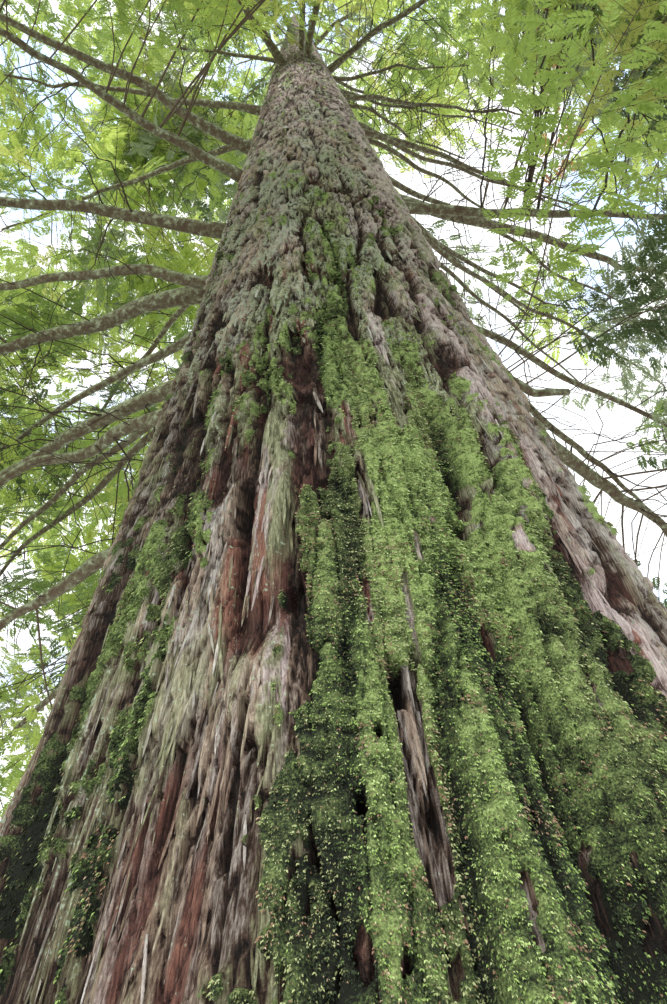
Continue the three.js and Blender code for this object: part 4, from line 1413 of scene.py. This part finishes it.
def plume_template():
    """A plume lies along +X: a rib, and pairs of kite-shaped leaflets. All faces have four corners."""
    points = [[0, 0.012, 0], [0, -0.012, 0], [0.93, -0.004, -0.1], [0.93, 0.004, -0.1]]
    for pair in range(PLUME_PAIRS):
        along = 0.07 + 0.8 / PLUME_PAIRS * pair
        long = 0.38 * (1 - 0.5 * abs(along - 0.3) / 0.65)
        for way in (1, -1):
            turn = np.radians(52 - 22 * along)
            ahead = np.array([np.cos(turn), way * np.sin(turn)]) * long
            aside = np.array([-ahead[1], ahead[0]]) * 0.25
            foot = np.array([along + 0.03 * (way > 0), 0])
            corners = [foot, foot + ahead * 0.5 - aside, foot + ahead, foot + ahead * 0.45 + aside]
            points += [[x, y, rise - 0.1 * x**2] for (x, y), rise in zip(corners, LEAFLET_RISES)]
    points += [[0.86, 0, -0.08], [1.0, 0.05, -0.1], [1.16, 0, -0.13], [1.0, -0.05, -0.1]]
    return np.array(points)


PLUME = plume_template()
PLUME_TRIANGLES = len(PLUME) // 2


def needle_tone(place, fine, rng):
    """Which green a spray gets: lime on the left of the photograph, greyer and darker on the right; the
    lime there partly stands in for light shining through the leaves.
    """
    x, y = project(place)[:2]
    area = "top" if y < TOP_ABOVE else "right"
    if x < (LIME_UP_TO if y > TOP_ABOVE else LIME_UP_TO_AT_TOP):
        area = "left"
    if fine >= PLUME_UNSEEN:
        area = "unseen"
    return rng.choice(len(NEEDLES), p=NEEDLE_SHARES[area])


def join_pieces(kind, chunks, build):
    """Joins masses in turn into pieces that stay under the limit."""
    batches, total = [[]], 0
    for chunk in chunks:
        if batches[-1] and total + chunk["triangles"] > PIECE_LIMIT:
            batches.append([])
            total = 0
        batches[-1].append(chunk)
        total += chunk["triangles"]
    for number, batch in enumerate(batches):
        piece = build(f"{kind}_{number + 1}", batch)
        belongs(piece, "foliage", *[chunk["node"] for chunk in batch])


def build_needles(name, batch):
    keys = ("origin", "aim", "flat", "size", "tone")
    origin, aim, flat, size, tone = (np.concatenate([chunk[key] for chunk in batch]) for key in keys)
    rng = np.random.default_rng(len(origin))
    across = np.cross(flat, aim)
    axes = np.stack([aim, across, np.cross(aim, across)], 1)
    shape = PLUME[None] + rng.normal(0, PLUME_CRUMPLE, (len(origin), *PLUME.shape))
    shape[:, 0:4] = PLUME[0:4]
    points = origin[:, None] + np.einsum("nvk,nkj->nvj", shape, axes) * size[:, None, None]
    faces = np.arange(len(origin) * len(PLUME)).reshape(-1, 4)
    slots = np.repeat(tone, len(PLUME) // 4)
    return mesh_object(name, points, [faces], NEEDLES, slots=slots, smooth=False)


def build_twigs(name, batch):
    points, quads, _ = join_tubes([lot for chunk in batch for lot in chunk["tubes"]])
    return mesh_object(name, points, [quads], [TWIGS[1]])


def spray_fineness(spray):
    """Length of the plumes: finer where the camera sees them."""
    start, heading, face, length, size, radius = spray
    places = start + heading * (length + SPRAY_LENGTH * size) * np.array([0.3, 0.6, 0.8, 1.0])[:, None]
    if not np.any(seen(places)):
        return PLUME_UNSEEN
    return np.clip(PLUME_FINENESS * project(places)[2].min(), PLUME_LEAST, PLUME_MOST)


def dress_mass(index, sprays, rng):
    """A mass's plumes and its twigs, without what would leave its space."""
    plumes, ribs, sides = [], [], []
    for spray in [shortened(spray, index) for spray in sprays]:
        if spray is None:
            continue
        middle = spray[0] + spray[1] * (spray[3] + 0.45 * SPRAY_LENGTH * spray[4])
        if in_opening(*project(middle)[:2]) and rng.uniform() > OPENING_KEPT:
            continue
        fine = spray_fineness(spray)
        rib, twigs, which, plume = dress_spray(spray, rng, fine)
        plume["tone"] = np.full(len(which), needle_tone(middle, fine, rng))
        kept = in_space(plume["origin"] + plume["aim"] * plume["size"][:, None], index)
        used = np.unique(which[kept])
        ribs.append(rib)
        sides.append((twigs[used], np.full((len(used), 2), 0.01 * fine) * [1, 0.4]))
        plumes.append({key: values[kept] for key, values in plume.items()})
    thick = tubes(*(np.array(part) for part in zip(*ribs)), 4)
    thin = tubes(*(np.concatenate(part) for part in zip(*sides)), 3)
    parts = {key: np.concatenate([plume[key] for plume in plumes]) for key in plumes[0]}
    leaves = {"node": FOLIAGE[index], "triangles": len(parts["origin"]) * PLUME_TRIANGLES, **parts}
    triangles = 2 * (len(thick[1]) + len(thin[1]))
    return leaves, {"node": FOLIAGE[index], "triangles": triangles, "tubes": [thick, thin]}


def make_foliage():
    rng = np.random.default_rng(31)
    places = free_places(rng)
    nearest = np.argmin(np.linalg.norm(places[:, None] - CENTRES, axis=2), axis=1)
    masses = []
    for index, stem in enumerate(STEMS):
        sprays = [*rule_sprays(index, stem), *free_sprays(index, stem, places[nearest == index], rng)]
        masses.append(dress_mass(index, sprays, rng))
    join_pieces("needles", [leaves for leaves, twigs in masses], build_needles)
    join_pieces("twigs", [twigs for leaves, twigs in masses], build_twigs)


make_foliage()


# Camera and light
CLIP_END = 400
FLOOR_HALF, FLOOR_HEIGHT = 60.0, -0.002
SKY_STRENGTH, SKY_BLUE, SKY_CLOUD = 1.65, (0.62, 0.79, 1.0), (0.97, 0.99, 1.0)


def make_camera():
    data = bpy.data.cameras.new("camera")
    data.sensor_width = LONG_SIDE_MM
    data.lens = LENS_MM
    data.clip_end = CLIP_END
    camera = bpy.data.objects.new("camera", data)
    bpy.context.scene.collection.objects.link(camera)
    turned = np.stack([RIGHT, OVER, -AHEAD], -1)
    camera.matrix_world = Matrix.Translation(EYE) @ Matrix(turned.tolist()).to_4x4()
    bpy.context.scene.camera = camera


def make_floor():
    corners = np.array([[-1, -1], [1, -1], [1, 1], [-1, 1]]) * FLOOR_HALF
    points = np.column_stack([corners, np.full(4, FLOOR_HEIGHT)])
    pale = plain("floor", (0.62, 0.62, 0.6), 0.9)
    mesh_object("floor", points, [np.array([[0, 1, 2, 3]])], [pale])


def make_sun(name, toward, energy, spread, colour):
    data = bpy.data.lights.new(name, "SUN")
    data.energy, data.angle, data.color = energy, np.radians(spread), colour
    sun = bpy.data.objects.new(name, data)
    sun.rotation_mode = "QUATERNION"
    sun.rotation_quaternion = Vector(toward).to_track_quat("Z", "Y")
    bpy.context.scene.collection.objects.link(sun)


def make_light():
    world = bpy.data.worlds.new("sky")
    world.use_nodes = True
    s = Nodes(world.node_tree)
    sky = s.tree.nodes["Background"].inputs
    place = s.add("TexCoord", {}).outputs["Generated"]
    cloud = s.add("TexNoise", {"Vector": place, "Scale": 5.0, "Detail": 4.0}).outputs["Fac"]
    s.plug(sky["Color"], s.ramp(cloud, [(0.38, SKY_BLUE), (0.52, SKY_CLOUD)]))
    s.plug(sky["Strength"], SKY_STRENGTH)
    bpy.context.scene.world = world
    make_sun("behind", (0.35, 0.5, 1.0), 2.0, 40, (1.0, 0.97, 0.9))
    make_sun("front", (-0.35, -1.0, 0.8), 4.6, 36, (1.0, 0.985, 0.96))


make_camera()
make_floor()
make_light()
bpy.context.scene.view_settings.view_transform = "Standard"
